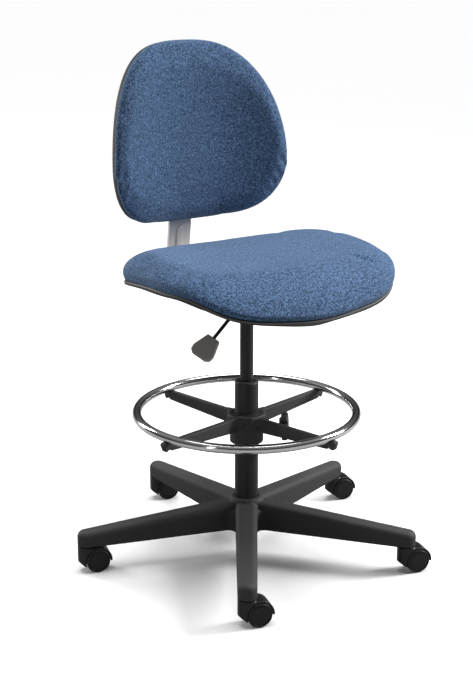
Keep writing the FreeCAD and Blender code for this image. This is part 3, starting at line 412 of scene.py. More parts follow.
def grain_group() -> bpy.types.NodeTree:
    """Moulded or painted surface: fine leathery pits, with a slow drift of tone."""
    nodes, given, result = new_group("surface_grain", {"Scale": 900.0, "Drift": 14.0},
                                     {"Height": "NodeSocketFloat", "Tone": "NodeSocketFloat"})
    place = nodes.add("ShaderNodeTexCoord").outputs["Object"]
    pits = nodes.add("ShaderNodeTexVoronoi", feature="SMOOTH_F1")
    nodes.link(place, pits.inputs["Vector"])
    nodes.link(given.outputs["Scale"], pits.inputs["Scale"])
    fine = nodes.noise(place, nodes.math("MULTIPLY", given.outputs["Scale"], 1.7), 2.0)
    height = nodes.math("ADD", nodes.math("MULTIPLY", pits.outputs["Distance"], 0.7),
                        nodes.math("MULTIPLY", fine, 0.3))
    nodes.link(height, result.inputs["Height"])
    nodes.link(nodes.noise(place, given.outputs["Drift"], 4.0, 0.6), result.inputs["Tone"])
    return nodes.tree


def dust_group() -> bpy.types.NodeTree:
    """Faint dust and handling marks, stronger on faces that look upwards."""
    nodes, given, result = new_group("settled_dust", {"Amount": 0.3}, {"Mask": "NodeSocketFloat"})
    coords = nodes.add("ShaderNodeTexCoord")
    facing = nodes.add("ShaderNodeSeparateXYZ")
    nodes.link(coords.outputs["Normal"], facing.inputs[0])
    upward = nodes.remap(facing.outputs["Z"], 0.2, 1.0)
    patches = nodes.remap(nodes.noise(coords.outputs["Object"], 40.0, 6.0, 0.65), 0.42, 0.75)
    spots = nodes.remap(nodes.noise(coords.outputs["Object"], 520.0, 2.0), 0.5, 0.8)
    both = nodes.math("ADD", nodes.math("MULTIPLY", patches, 0.7), nodes.math("MULTIPLY", spots, 0.3))
    mask = nodes.math("MULTIPLY", nodes.math("MULTIPLY", upward, both), given.outputs["Amount"], True)
    nodes.link(mask, result.inputs["Mask"])
    return nodes.tree


def wear_group() -> bpy.types.NodeTree:
    """Fine scuffs and hairlines from use, as a mask."""
    nodes, given, result = new_group("handling_wear", {"Scale": 60.0, "Amount": 0.5},
                                     {"Mask": "NodeSocketFloat"})
    place = nodes.add("ShaderNodeTexCoord").outputs["Object"]
    stretched = nodes.add("ShaderNodeMapping")
    stretched.inputs["Scale"].default_value = (1.0, 7.0, 1.6)
    stretched.inputs["Rotation"].default_value = (0.3, 0.5, 0.4)
    nodes.link(place, stretched.inputs["Vector"])
    lines = nodes.remap(nodes.noise(stretched.outputs[0], given.outputs["Scale"], 8.0, 0.7), 0.58, 0.72)
    clouds = nodes.remap(nodes.noise(place, 22.0, 3.0), 0.4, 0.7)
    nodes.link(nodes.math("MULTIPLY", nodes.math("MULTIPLY", lines, clouds), given.outputs["Amount"], True),
               result.inputs["Mask"])
    return nodes.tree


def weave_group() -> bpy.types.NodeTree:
    """Tweed weave seen along the surface's own main direction: crossed yarns with heather flecks."""
    nodes, given, result = new_group("tweed_weave", {"Yarn": 1.7, "Fleck": 300.0},
                                     {"Height": "NodeSocketFloat", "Fleck": "NodeSocketFloat",
                                      "Shade": "NodeSocketFloat"})
    coords = nodes.add("ShaderNodeTexCoord")
    place = coords.outputs["Object"]
    wobble = nodes.add("ShaderNodeTexNoise")
    nodes.link(place, wobble.inputs["Vector"])
    wobble.inputs["Scale"].default_value = 60.0
    shift = nodes.add("ShaderNodeVectorMath", operation="MULTIPLY_ADD")
    nodes.link(wobble.outputs["Color"], shift.inputs[0])
    shift.inputs[1].default_value = (0.0012, 0.0012, 0.0012)
    nodes.link(place, shift.inputs[2])
    axes = nodes.add("ShaderNodeSeparateXYZ")
    nodes.link(shift.outputs[0], axes.inputs[0])
    normal = nodes.add("ShaderNodeSeparateXYZ")
    nodes.link(coords.outputs["Normal"], normal.inputs[0])
    pitch = nodes.math("DIVIDE", 2 * math.pi * 1000, given.outputs["Yarn"])
    waves = {}
    for axis in "XYZ":
        waves[axis] = nodes.math("SINE", nodes.math("MULTIPLY", axes.outputs[axis], pitch))
    total = None
    for axis, (first, second) in {"X": "YZ", "Y": "XZ", "Z": "XY"}.items():
        weight = nodes.math("POWER", nodes.math("ABSOLUTE", normal.outputs[axis]), 3.0)
        cross = nodes.math("MULTIPLY", nodes.math("MULTIPLY", waves[first], waves[second]), weight)
        total = cross if total is None else nodes.math("ADD", total, cross)
    fibre = nodes.noise(place, 2600.0, 2.0)
    height = nodes.math("ADD", nodes.math("MULTIPLY_ADD", total, 0.5), nodes.math("MULTIPLY", fibre, 0.6))
    heather = nodes.noise(place, given.outputs["Fleck"], 3.0, 0.75)
    fleck = nodes.math("ADD", nodes.math("MULTIPLY", heather, 0.75), nodes.math("MULTIPLY", total, 0.12))
    nodes.link(height, result.inputs["Height"])
    nodes.link(nodes.remap(fleck, 0.30, 0.50), result.inputs["Fleck"])
    nodes.link(nodes.noise(place, 26.0, 3.0, 0.55), result.inputs["Shade"])
    return nodes.tree


GROUPS: dict[str, bpy.types.NodeTree] = {}


def group_node(nodes: Nodes, name: str, maker: Callable[[], bpy.types.NodeTree],
               **values: float) -> bpy.types.Node:
    """Place a shared group, built on first use, with its own values."""
    if name not in GROUPS:
        GROUPS[name] = maker()
    node = nodes.add("ShaderNodeGroup", node_tree=GROUPS[name])
    for label, value in values.items():
        node.inputs[label].default_value = value
    return node


def start_material(name: str) -> tuple[bpy.types.Material, Nodes, bpy.types.Node]:
    """A new material with its builder and its Principled shader."""
    material = bpy.data.materials.new(name)
    material.use_nodes = True
    nodes = Nodes(material.node_tree)
    return material, nodes, material.node_tree.nodes["Principled BSDF"]


def add_bump(nodes: Nodes, shader: bpy.types.Node, height: bpy.types.NodeSocket, strength: float,
             depth: float) -> None:
    """Feed a height into the shader's normal."""
    bump = nodes.add("ShaderNodeBump")
    bump.inputs["Strength"].default_value = strength
    bump.inputs["Distance"].default_value = depth
    nodes.link(height, bump.inputs["Height"])
    nodes.link(bump.outputs["Normal"], shader.inputs["Normal"])


# -------------------------------------------------------------------------------- finishes

@dataclass(frozen=True)
class MouldedPlastic:
    """Grained moulded plastic with a little dust and scuffing."""

    name: str
    colour: tuple[float, float, float]
    roughness: float = 0.42
    grain: float = 1100.0
    depth: float = 0.00012
    dust: float = 0.25
    coat: float = 0.0

    def build(self) -> bpy.types.Material:
        """Make the material."""
        material, nodes, shader = start_material(self.name)
        grain = group_node(nodes, "grain", grain_group, Scale=self.grain)
        dust = group_node(nodes, "dust", dust_group, Amount=self.dust)
        wear = group_node(nodes, "wear", wear_group, Amount=0.35)
        lighter = tuple(min(1.0, channel * 1.5 + 0.004) for channel in self.colour)
        dusty = tuple(channel * 0.5 + 0.10 for channel in self.colour)
        toned = nodes.mix(grain.outputs["Tone"], self.colour, lighter)
        rubbed = tuple(channel * 1.6 + 0.01 for channel in self.colour)
        scuffed = nodes.mix(wear.outputs["Mask"], toned, rubbed)
        nodes.link(nodes.mix(dust.outputs["Mask"], scuffed, dusty), shader.inputs["Base Color"])
        rough = nodes.math("MULTIPLY_ADD", grain.outputs["Tone"], 0.16)
        rough.node.inputs[2].default_value = self.roughness - 0.08
        nodes.link(nodes.math("ADD", rough, nodes.math("MULTIPLY", dust.outputs["Mask"], 0.5), True),
                   shader.inputs["Roughness"])
        shader.inputs["Coat Weight"].default_value = self.coat
        shader.inputs["Coat Roughness"].default_value = 0.25
        shader.inputs["Specular IOR Level"].default_value = 0.4
        add_bump(nodes, shader, grain.outputs["Height"], 0.35, self.depth)
        return material


@dataclass(frozen=True)
class BareMetal:
    """Plated, drawn or polished metal, with a brushed or mottled surface."""

    name: str
    colour: tuple[float, float, float]
    roughness: float
    mottle: float = 0.1
    grain: float = 500.0
    depth: float = 0.00003
    metallic: float = 1.0

    def build(self) -> bpy.types.Material:
        """Make the material."""
        material, nodes, shader = start_material(self.name)
        grain = group_node(nodes, "grain", grain_group, Scale=self.grain, Drift=30.0)
        wear = group_node(nodes, "wear", wear_group, Scale=90.0, Amount=0.5)
        darker = tuple(channel * (1 - 2.2 * self.mottle) for channel in self.colour)
        toned = nodes.mix(grain.outputs["Tone"], self.colour, darker)
        nodes.link(nodes.mix(wear.outputs["Mask"], toned, darker), shader.inputs["Base Color"])
        rough = nodes.math("MULTIPLY_ADD", grain.outputs["Tone"], self.mottle)
        rough.node.inputs[2].default_value = self.roughness
        nodes.link(nodes.math("ADD", rough, nodes.math("MULTIPLY", wear.outputs["Mask"], 0.12), True),
                   shader.inputs["Roughness"])
        shader.inputs["Metallic"].default_value = self.metallic
        add_bump(nodes, shader, grain.outputs["Height"], 0.2, self.depth)
        return material


@dataclass(frozen=True)
class Paint:
    """Powder coat or black finish on steel: glossy orange peel over a plain colour."""

    name: str
    colour: tuple[float, float, float]
    roughness: float = 0.25
    peel: float = 380.0

    def build(self) -> bpy.types.Material:
        """Make the material."""
        material, nodes, shader = start_material(self.name)
        grain = group_node(nodes, "grain", grain_group, Scale=self.peel, Drift=20.0)
        dust = group_node(nodes, "dust", dust_group, Amount=0.2)
        wear = group_node(nodes, "wear", wear_group, Scale=70.0, Amount=0.4)
        lighter = tuple(channel * 1.4 + 0.01 for channel in self.colour)
        toned = nodes.mix(grain.outputs["Tone"], self.colour, lighter)
        nodes.link(nodes.mix(dust.outputs["Mask"], toned, (0.16, 0.16, 0.155)), shader.inputs["Base Color"])
        rough = nodes.math("MULTIPLY_ADD", wear.outputs["Mask"], 0.2)
        rough.node.inputs[2].default_value = self.roughness
        nodes.link(rough, shader.inputs["Roughness"])
        shader.inputs["Coat Weight"].default_value = 0.4
        shader.inputs["Coat Roughness"].default_value = 0.12
        add_bump(nodes, shader, grain.outputs["Height"], 0.25, 0.0001)
        return material


@dataclass(frozen=True)
class Tweed:
    """Heather upholstery cloth."""

    name: str
    deep: tuple[float, float, float]
    light: tuple[float, float, float]
    yarn: float = 1.7

    def build(self) -> bpy.types.Material:
        """Make the material."""
        material, nodes, shader = start_material(self.name)
        weave = group_node(nodes, "weave", weave_group, Yarn=self.yarn)
        flecked = nodes.mix(weave.outputs["Fleck"], self.deep, self.light)
        middle = tuple((low + high) * 0.42 for low, high in zip(self.deep, self.light))
        slow = nodes.math("MULTIPLY", weave.outputs["Shade"], 0.22)
        nodes.link(nodes.mix(slow, flecked, middle), shader.inputs["Base Color"])
        shader.inputs["Roughness"].default_value = 0.92
        shader.inputs["Specular IOR Level"].default_value = 0.15
        shader.inputs["Sheen Weight"].default_value = 0.35
        shader.inputs["Sheen Roughness"].default_value = 0.45
        shader.inputs["Sheen Tint"].default_value = (0.45, 0.62, 0.85, 1.0)
        add_bump(nodes, shader, weave.outputs["Height"], 0.7, 0.0005)
        return material


@dataclass(frozen=True)
class Plywood:
    """Moulded beech plywood."""

    name: str

    def build(self) -> bpy.types.Material:
        """Make the material."""
        material, nodes, shader = start_material(self.name)
        place = nodes.add("ShaderNodeTexCoord").outputs["Object"]
        stretched = nodes.add("ShaderNodeMapping")
        stretched.inputs["Scale"].default_value = (18.0, 1.5, 60.0)
        nodes.link(place, stretched.inputs["Vector"])
        figure = nodes.noise(stretched.outputs[0], 8.0, 8.0, 0.6)
        nodes.link(nodes.mix(figure, (0.36, 0.22, 0.11), (0.62, 0.45, 0.27)), shader.inputs["Base Color"])
        nodes.link(nodes.math("MULTIPLY_ADD", figure, 0.3), shader.inputs["Roughness"])
        shader.inputs["Roughness"].links[0].from_node.inputs[2].default_value = 0.45
        add_bump(nodes, shader, figure, 0.3, 0.0002)
        return material


class Finish(Enum):
    """Every finish on the chair."""

    BASE_NYLON = MouldedPlastic("base_nylon", (0.008, 0.008, 0.0085), 0.34, 1400.0, 0.0001, 0.1, 0.15)
    CASTER_NYLON = MouldedPlastic("caster_nylon", (0.006, 0.006, 0.0065), 0.32, 1500.0, 0.00006, 0.07, 0.1)
    WHEEL_NYLON = MouldedPlastic("wheel_nylon", (0.009, 0.009, 0.0095), 0.42, 1300.0, 0.0001, 0.07)
    SHELL_PLASTIC = MouldedPlastic("shell_plastic", (0.01, 0.01, 0.0105), 0.5, 900.0, 0.0002, 0.1)
    EDGE_BAND = MouldedPlastic("edge_band", (0.085, 0.082, 0.08), 0.45, 1200.0, 0.00008, 0.1)
    PADDLE = MouldedPlastic("paddle_plastic", (0.40, 0.39, 0.355), 0.5, 1000.0, 0.00012, 0.1)
    KNOB_PLASTIC = MouldedPlastic("knob_plastic", (0.009, 0.009, 0.0095), 0.42, 1200.0, 0.0001, 0.1)
    GUIDE_PLASTIC = MouldedPlastic("guide_plastic", (0.03, 0.03, 0.032), 0.3, 1800.0, 0.00004, 0.1)
    RUBBER = MouldedPlastic("bumper_rubber", (0.012, 0.012, 0.012), 0.75, 700.0, 0.0002, 0.1)
    COLUMN_PAINT = Paint("column_paint", (0.012, 0.012, 0.0125), 0.22)
    TUBE_BLACK = Paint("tube_black", (0.012, 0.012, 0.0125), 0.2, 800.0)
    BLACK_STEEL = Paint("black_steel", (0.015, 0.015, 0.017), 0.34, 300.0)
    CHROME = BareMetal("chrome", (0.84, 0.845, 0.86), 0.045, 0.03, 200.0, 0.00001)
    ZINC = BareMetal("zinc_plate", (0.90, 0.865, 0.85), 0.5, 0.05, metallic=0.6)
    BRIGHT_STEEL = BareMetal("bright_steel", (0.6, 0.6, 0.61), 0.22, 0.06)
    TWEED = Tweed("blue_tweed", (0.010, 0.022, 0.050), (0.150, 0.262, 0.475))
    PLYWOOD = Plywood("beech_plywood")

    def material(self) -> bpy.types.Material:
        """The finish's material, made on first use."""
        made = bpy.data.materials.get(self.value.name)
        return made or self.value.build()


SLOT_FINISH = {
    "base_nylon": Finish.BASE_NYLON, "caster_plastic": Finish.CASTER_NYLON,
    "wheel_plastic": Finish.WHEEL_NYLON,
    "column_paint": Finish.COLUMN_PAINT, "tube_black": Finish.TUBE_BLACK, "steel": Finish.BRIGHT_STEEL,
    "zinc": Finish.ZINC, "chrome": Finish.CHROME, "black_steel": Finish.BLACK_STEEL,
    "shell_plastic": Finish.SHELL_PLASTIC, "edge_trim": Finish.EDGE_BAND, "seat_fabric": Finish.TWEED,
    "plywood": Finish.PLYWOOD, "rubber": Finish.RUBBER, "guide_plastic": Finish.GUIDE_PLASTIC,
    "paddle_plastic": Finish.PADDLE, "knob_plastic": Finish.KNOB_PLASTIC,
}


def dress(piece: bpy.types.Object, finish: Finish) -> None:
    """Give a piece one finish all over."""
    piece.data.materials.clear()
    piece.data.materials.append(finish.material())


def body_of_node(node: str) -> str:
    """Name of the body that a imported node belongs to."""
    return frame["nodes"][node]["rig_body"]


def stand_in(piece: bpy.types.Object, slot: str, *nodes: str) -> None:
    """Let a new piece ride with, and stand for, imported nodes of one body.

    Args:
        piece: The finished piece, in place.
        slot: The record's material slot that it takes its finish from.
        nodes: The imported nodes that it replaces.
    """
    dress(piece, SLOT_FINISH[slot])
    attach(piece, body_of_node(nodes[0]))
    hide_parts(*nodes)
    log.info("%s stands for %s: %d faces", piece.name, ", ".join(nodes), len(piece.data.polygons))


# -------------------------------------------------------------------------------- upholstery

def puff(piece: bpy.types.Object, loose: Callable[[Vector], bool], cap: float, pressure: float = 4.0) -> None:
    """Swell a cushion's cover over its foam by a short cloth simulation.

    Args:
        piece: The closed cushion mesh.
        loose: Says of a vertex whether it may move; the rest stay tucked in place.
        cap: The furthest that any vertex may move.
        pressure: The foam's push on the cover.
    """
    rest = np.array([vertex.co for vertex in piece.data.vertices], float)
    held = piece.vertex_groups.new(name="held")
    held.add([v.index for v in piece.data.vertices if not loose(v.co)], 1.0, "REPLACE")
    activate(piece)
    cloth = piece.modifiers.new("cover", "CLOTH")
    cloth.settings.quality = 4
    cloth.settings.mass = 0.25
    cloth.settings.tension_stiffness = 25.0
    cloth.settings.compression_stiffness = 25.0
    cloth.settings.bending_stiffness = 2.0
    cloth.settings.vertex_group_mass = "held"
    cloth.settings.use_pressure = True
    cloth.settings.uniform_pressure_force = pressure
    cloth.settings.effector_weights.gravity = 0.0
    cloth.collision_settings.use_self_collision = False
    scene = bpy.context.scene
    for number in range(1, 21):
        scene.frame_set(number)
    moved = piece.evaluated_get(bpy.context.evaluated_depsgraph_get()).to_mesh()
    swollen = np.array([vertex.co for vertex in moved.vertices], float)
    piece.evaluated_get(bpy.context.evaluated_depsgraph_get()).to_mesh_clear()
    piece.modifiers.remove(cloth)
    scene.frame_set(1)
    step = swollen - rest
    length = np.linalg.norm(step, axis=1, keepdims=True)
    step *= np.minimum(1.0, cap / np.maximum(length, 1e-9))
    piece.data.vertices.foreach_set("co", (rest + step).ravel())
    piece.vertex_groups.clear()
    log.info("%s: cover moved by up to %.1f mm", piece.name, 1000 * float(np.linalg.norm(step, axis=1).max()))


@dataclass
class SeatUpholstery:
    """Waterfall seat: a saddle-shaped lower edge, a swelling side and a gently dished top."""

    around: int = 176
    side_rows: int = 7
    shoulder_rows: int = 14
    top_rows: int = 20
    bulge: float = 0.003
    tuck: float = 0.0015
    side_share: float = 0.36
    dish: float = 0.009
    recess: float = 0.012
    outline = [(0, -269), (99, -258), (201, -222), (254, -126), (253, -20), (237, 79), (185, 163), (89, 196),
               (0, 198)]
    edge = [(-0.290, 0.562), (-0.260, 0.5814), (-0.180, 0.6246), (-0.100, 0.6285), (-0.020, 0.6237),
            (0.080, 0.6103), (0.215, 0.583)]
    crown = [(-0.290, 0.598), (-0.260, 0.6214), (-0.180, 0.6576), (-0.100, 0.670), (-0.020, 0.6745),
             (0.080, 0.669), (0.215, 0.633)]

    def __post_init__(self) -> None:
        """Fit the outline."""
        right = [(x / 1000, y / 1000) for x, y in self.outline]
        self.curve = ClosedCurve(right + [(-x, y) for x, y in reversed(right) if x > 0])

    def edge_level(self, y: float) -> float:
        """Level of the lower edge."""
        return smooth_value(self.edge, y)

    def crown_level(self, x: float, y: float) -> float:
        """Level of the cushion's top, with the hollow that the sitter's weight has left."""
        hollow = math.exp(-((x / 0.15) ** 2) - ((y - 0.01) / 0.14) ** 2)
        thighs = 0.35 * math.exp(-(((abs(x) - 0.11) / 0.06) ** 2) - ((y + 0.12) / 0.12) ** 2)
        return smooth_value(self.crown, y) - self.dish * (hollow + thighs)

    def shoulder_width(self, y: float) -> float:
        """How far in the rounded shoulder reaches, more over the front roll."""
        front = max(0.0, min(1.0, (-y - 0.10) / 0.15))
        rear = max(0.0, min(1.0, (y - 0.02) / 0.14))
        return 0.042 + 0.026 * front + 0.022 * rear

    def section(self) -> list[tuple[float, float]]:
        """Side and shoulder of the section: share of the shoulder's width, share of the height."""
        rows = []
        for i in range(self.side_rows + 1):
            u = i / self.side_rows
            rows.append((-math.sin(u * math.pi / 2), self.side_share * u))
        for i in range(1, self.shoulder_rows + 1):
            turn = i / self.shoulder_rows * math.pi / 2
            rows.append((-math.cos(turn), self.side_share + (1 - self.side_share) * math.sin(turn) ** 0.9))
        return rows

    def rings(self) -> list[list[Vector]]:
        """Rings of the closed form, from its recessed underside to the middle of its top."""
        frames = [self.curve.frame(i / self.around) for i in range(self.around)]
        centre = Vector((0, -0.03, 0))
        rings = []
        for inset, rise in ((0.6, self.recess), (0.012, self.recess), (0.010, 0.0005), (0.005, 0.0)):
            ring = []
            for point, inwards in frames:
                flat = point + inwards * inset if inset < 0.1 else centre + (point - centre) * 0.25
                ring.append(Vector((flat.x, flat.y, self.edge_level(flat.y) + rise)))
            rings.append(ring)
        for row, (out, lift) in enumerate(self.section()):
            ring = []
            for point, inwards in frames:
                width = self.shoulder_width(point.y)
                if row <= self.side_rows:
                    inset = self.tuck + (self.tuck + self.bulge) * out
                else:
                    inset = -self.bulge + width * (1 + out)
                flat = point + inwards * inset
                low = self.edge_level(flat.y)
                ring.append(Vector((flat.x, flat.y, low + lift * (self.crown_level(flat.x, flat.y) - low))))
            rings.append(ring)
        last = rings[-1]
        for row in range(1, self.top_rows + 1):
            share = 1 - row / (self.top_rows + 0.6)
            ring = []
            for point in last:
                x, y = centre.x + (point.x - centre.x) * share, centre.y + (point.y - centre.y) * share
                ring.append(Vector((x, y, self.crown_level(x, y))))
            rings.append(ring)
        return rings

    def build(self) -> None:
        """Make, swell and dress the seat cushion."""
        piece = ring_mesh("seat_upholstery", self.rings())
        puff(piece, lambda co: co.z > self.edge_level(co.y) + 0.015, 0.004)
        apply_modifier(piece, "SMOOTH", factor=0.5, iterations=2)
        apply_modifier(piece, "SUBSURF", levels=1, render_levels=1)
        shade_smooth(piece, 60)
        stand_in(piece, "seat_fabric", "seat_cushion")


@dataclass
class BackUpholstery:
    """Contoured back cushion on its curved shell, rounder above than below."""

    around: int = 176
    width: float = 0.4166
    height: float = 0.3804
    widest: float = 0.323
    rear_curve: float = 0.300
    front_curve: float = 0.400
    shell: float = 0.0045
    thickness: float = 0.067
    inset: float = 0.0045
    bulge: float = 0.0035
    shoulder: float = 0.040
    dish: float = 0.005
    origin = Vector((0, 0.263, 0.684))
    lean: float = math.radians(2.46)

    def outline(self, angle: float, inset: float) -> tuple[float, float]:
        """Point of the outline, across and up, moved in by the inset."""
        c, s = math.cos(angle), math.sin(angle)
        below = self.height * self.widest
        rise = (self.height - below if s >= 0 else below) - inset
        side_power, rise_power = (2 / 2.82, 2 / 1.89) if s >= 0 else (2 / 4.44, 2 / 1.74)
        across = math.copysign((self.width / 2 - inset) * abs(c) ** side_power, c)
        return across, below + math.copysign(rise * abs(s) ** rise_power, s)

    def rear(self, across: float) -> float:
        """Depth of the shell's front face, forwards of the rear plane."""
        radius = self.rear_curve - self.shell
        return self.shell + radius - math.sqrt(radius ** 2 - across ** 2)

    def front(self, across: float, up: float) -> float:
        """Depth of the cushion's front face, with a soft lumbar swell."""
        sweep = self.front_curve - math.sqrt(self.front_curve ** 2 - across ** 2)
        lumbar = 0.005 * math.exp(-((up - 0.12) / 0.08) ** 2 - (across / 0.13) ** 2)
        lumbar -= self.dish * math.exp(-((up - 0.17) / 0.12) ** 2 - (across / 0.11) ** 4)
        top = 0.008 * max(0.0, (up - 0.24) / 0.14) ** 2
        return self.thickness + sweep + lumbar - top - 0.003

    def place(self, across: float, depth: float, up: float) -> Vector:
        """Point of the leaning back in the chair's frame."""
        c, s = math.cos(self.lean), math.sin(self.lean)
        return self.origin + Vector((across, -depth * c + up * s, depth * s + up * c))

    def rings(self) -> list[list[Vector]]:
        """Rings from the middle of the rear face, over the side, to the middle of the front."""
        angles = [2 * math.pi * i / self.around for i in range(self.around)]
        middle = self.height * 0.45
        rings = []
        edge = [self.outline(angle, self.inset) for angle in angles]
        for share in (0.1, 0.4, 0.7, 0.9, 0.985):
            rings.append([self.place(x * share, self.rear(x * share), middle + (z - middle) * share)
                          for x, z in edge])
        trim = 0.0095
        for inset, depth in ((self.inset, 0.001), (self.inset, trim), (self.inset - 0.002, trim + 0.0006)):
            ring = []
            for angle in angles:
                x, z = self.outline(angle, inset)
                ring.append(self.place(x, self.rear(x) + depth, z))
            rings.append(ring)
        rows = 20
        for row in range(rows + 1):
            turn = row / rows * math.pi / 2
            inset = -self.bulge * math.sin(min(1.0, 2.2 * row / rows) * math.pi / 2)
            ring = []
            for angle in angles:
                x, z = self.outline(angle, inset + self.shoulder * (1 - math.cos(turn)))
                edge, _ = self.outline(angle, 0.0)
                low = self.rear(edge) + trim + 0.0008
                high = self.front(x, z)
                ring.append(self.place(x, low + (high - low) * math.sin(turn) ** 0.9, z))
            rings.append(ring)
        last = [self.outline(angle, self.shoulder - self.bulge) for angle in angles]
        for row in range(1, 23):
            share = 1 - row / 22.6
            rings.append([self.place(x * share, self.front(x * share, middle + (z - middle) * share),
                                     middle + (z - middle) * share) for x, z in last])
        return rings

    def build(self) -> None:
        """Make, swell and dress the back cushion."""
        piece = ring_mesh("back_upholstery", self.rings())
        front_limit = self.origin.y - 0.03
        puff(piece, lambda co: co.y < front_limit, 0.004)
        apply_modifier(piece, "SMOOTH", factor=0.5, iterations=2)
        apply_modifier(piece, "SUBSURF", levels=1, render_levels=1)
        shade_smooth(piece, 60)
        stand_in(piece, "seat_fabric", "back_cushion")


# -------------------------------------------------------------------------------- hard pieces

@dataclass
class SeatEdgeBand:
    """Vinyl band around the rim between cushion and pan."""

    width: float = 0.005
    height: float = 0.005
    rounding: float = 0.0019
    around: int = 240

    def build(self, seat: SeatUpholstery) -> None:
        """Sweep the band round the seat's outline.

        Args:
            seat: The cushion, which holds the outline and the level of the edge.
        """
        frames = [seat.curve.frame(i / self.around) for i in range(self.around)]
        loops = []
        for across, up in rounded_section(self.width, self.height, self.rounding):
            loop = []
            for point, inwards in frames:
                flat = point + inwards * across
                loop.append(Vector((flat.x, flat.y, seat.edge_level(point.y) - self.height + up)))
            loops.append(loop)
        piece = swept_band("seat_edge_band", loops)
        shade_smooth(piece, 50)
        stand_in(piece, "edge_trim", "seat_trim")


@dataclass
class BackEdgeBand:
    """Vinyl band around the rim of the back's shell."""

    inset: float = 0.002
    width: float = 0.004
    depth: float = 0.012
    rounding: float = 0.0018
    around: int = 240

    def build(self, back: BackUpholstery) -> None:
        """Sweep the band round the back's outline.

        Args:
            back: The cushion, which holds the outline and the shell's curve.
        """
        loops = []
        for across, depth in rounded_section(self.width, self.depth, self.rounding):
            loop = []
            for i in range(self.around):
                x, z = back.outline(2 * math.pi * i / self.around, self.inset + across)
                loop.append(back.place(x, back.rear(x) - back.shell + 0.001 + depth, z))
            loops.append(loop)
        piece = swept_band("back_edge_band", loops)
        shade_smooth(piece, 50)
        stand_in(piece, "edge_trim", "back_trim")
        dress(piece, Finish.SHELL_PLASTIC)


@dataclass
class StarBase:
    """Five-arm nylon moulding, softened where arms, hub and tips run together."""

    voxel: float = 0.0018
    rounds: int = 8

    def build(self) -> None:
        """Soften and dress the base."""
        piece = moulded_copy("star_base", "base_moulding", self.voxel, self.rounds)
        stand_in(piece, "base_nylon", "star_base")


@dataclass
class Casters:
    """Twin-wheel hooded casters, all trailing the same way."""

    heading: float = math.radians(-14.1)
    radius: float = 0.025
    inner: float = 0.0062
    outer: float = 0.0205
    bore: float = 0.00308

    def profile(self) -> list[tuple[float, float]]:
        """Section of a wheel from its bore: plain inside, tyre edge, groove and dished cap outside."""
        section = [(self.bore, self.inner), (self.radius - 0.0022, self.inner),
                   (self.radius - 0.0006, self.inner + 0.0006),
                   (self.radius, self.inner + 0.0022)]
        for step in range(6):
            angle = step / 5 * math.pi / 2
            section.append((self.radius - 0.0025 * (1 - math.cos(angle)),
                            self.outer - 0.0025 * (1 - math.sin(angle))))
        section += [(self.radius - 0.0040, self.outer), (self.radius - 0.0043, self.outer - 0.0004),
                    (self.radius - 0.0045, self.outer - 0.0012), (self.radius - 0.0055, self.outer - 0.0012),
                    (self.radius - 0.0057, self.outer - 0.0004), (self.radius - 0.0062, self.outer - 0.0001),
                    (self.radius - 0.0120, self.outer - 0.0005), (0.0, self.outer - 0.0008)]
        floor = self.inner + 0.0112
        return section + [(0.0, floor), (self.bore, floor), (self.bore, self.inner)]

    def build(self) -> None:
        """Make hoods and wheels."""
        for number in CASTERS:
            hood = moulded_copy(f"caster_hood_{number}", f"caster_shroud_{number}", 0.0008, 4)
            stand_in(hood, "caster_plastic", f"caster_hood_{number}")
            axle = centre_of(f"caster_axle_{number}")
            for side, turn in (("left", -math.pi / 2), ("right", math.pi / 2)):
                place = (Matrix.Translation(axle) @ Matrix.Rotation(self.heading, 4, "Z")
                         @ Matrix.Rotation(turn, 4, "X"))
                wheel = spun_piece(f"wheel_{side}_{number}", self.profile(), place, 72)
                shade_smooth(wheel, 35)
                stand_in(wheel, "wheel_plastic", f"caster_wheel_{side}_{number}")


@dataclass
class GasColumn:
    """Painted outer tube of the column, which also has a plastic guide and a black inner tube."""

    wall: float = 0.002
    edge: float = 0.0011

    def tube(self, node: str, name: str, slot: str, inner: float, taper: float, low_radius: float) -> None:
        """Turn one tube of the column.

        Args:
            node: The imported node.
            name: The new piece's name.
            slot: Its material slot.
            inner: Radius of its bore.
            taper: Length of the taper at its lower end.
            low_radius: Radius at the lower end.
        """
        low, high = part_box(node)
        radius = (high.x - low.x) / 2
        section = [(inner, low.z), (low_radius, low.z), (radius, low.z + taper), (radius, high.z - self.edge)]
        for step in range(1, 5):
            angle = step / 4 * math.pi / 2
            section.append((radius - self.edge * (1 - math.cos(angle)),
                            high.z - self.edge * (1 - math.sin(angle))))
        section += [(inner, high.z), (inner, low.z)]
        piece = spun_piece(name, section, Matrix.Identity(4))
        shade_smooth(piece, 35)
        stand_in(piece, slot, node)

    def build(self) -> None:
        """Make the column's painted outer tube."""
        low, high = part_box("column_outer_tube")
        radius = (high.x - low.x) / 2
        self.tube("column_outer_tube", "outer_tube", "column_paint",
                  radius - self.wall - 0.001, 0.060, radius - 0.001)


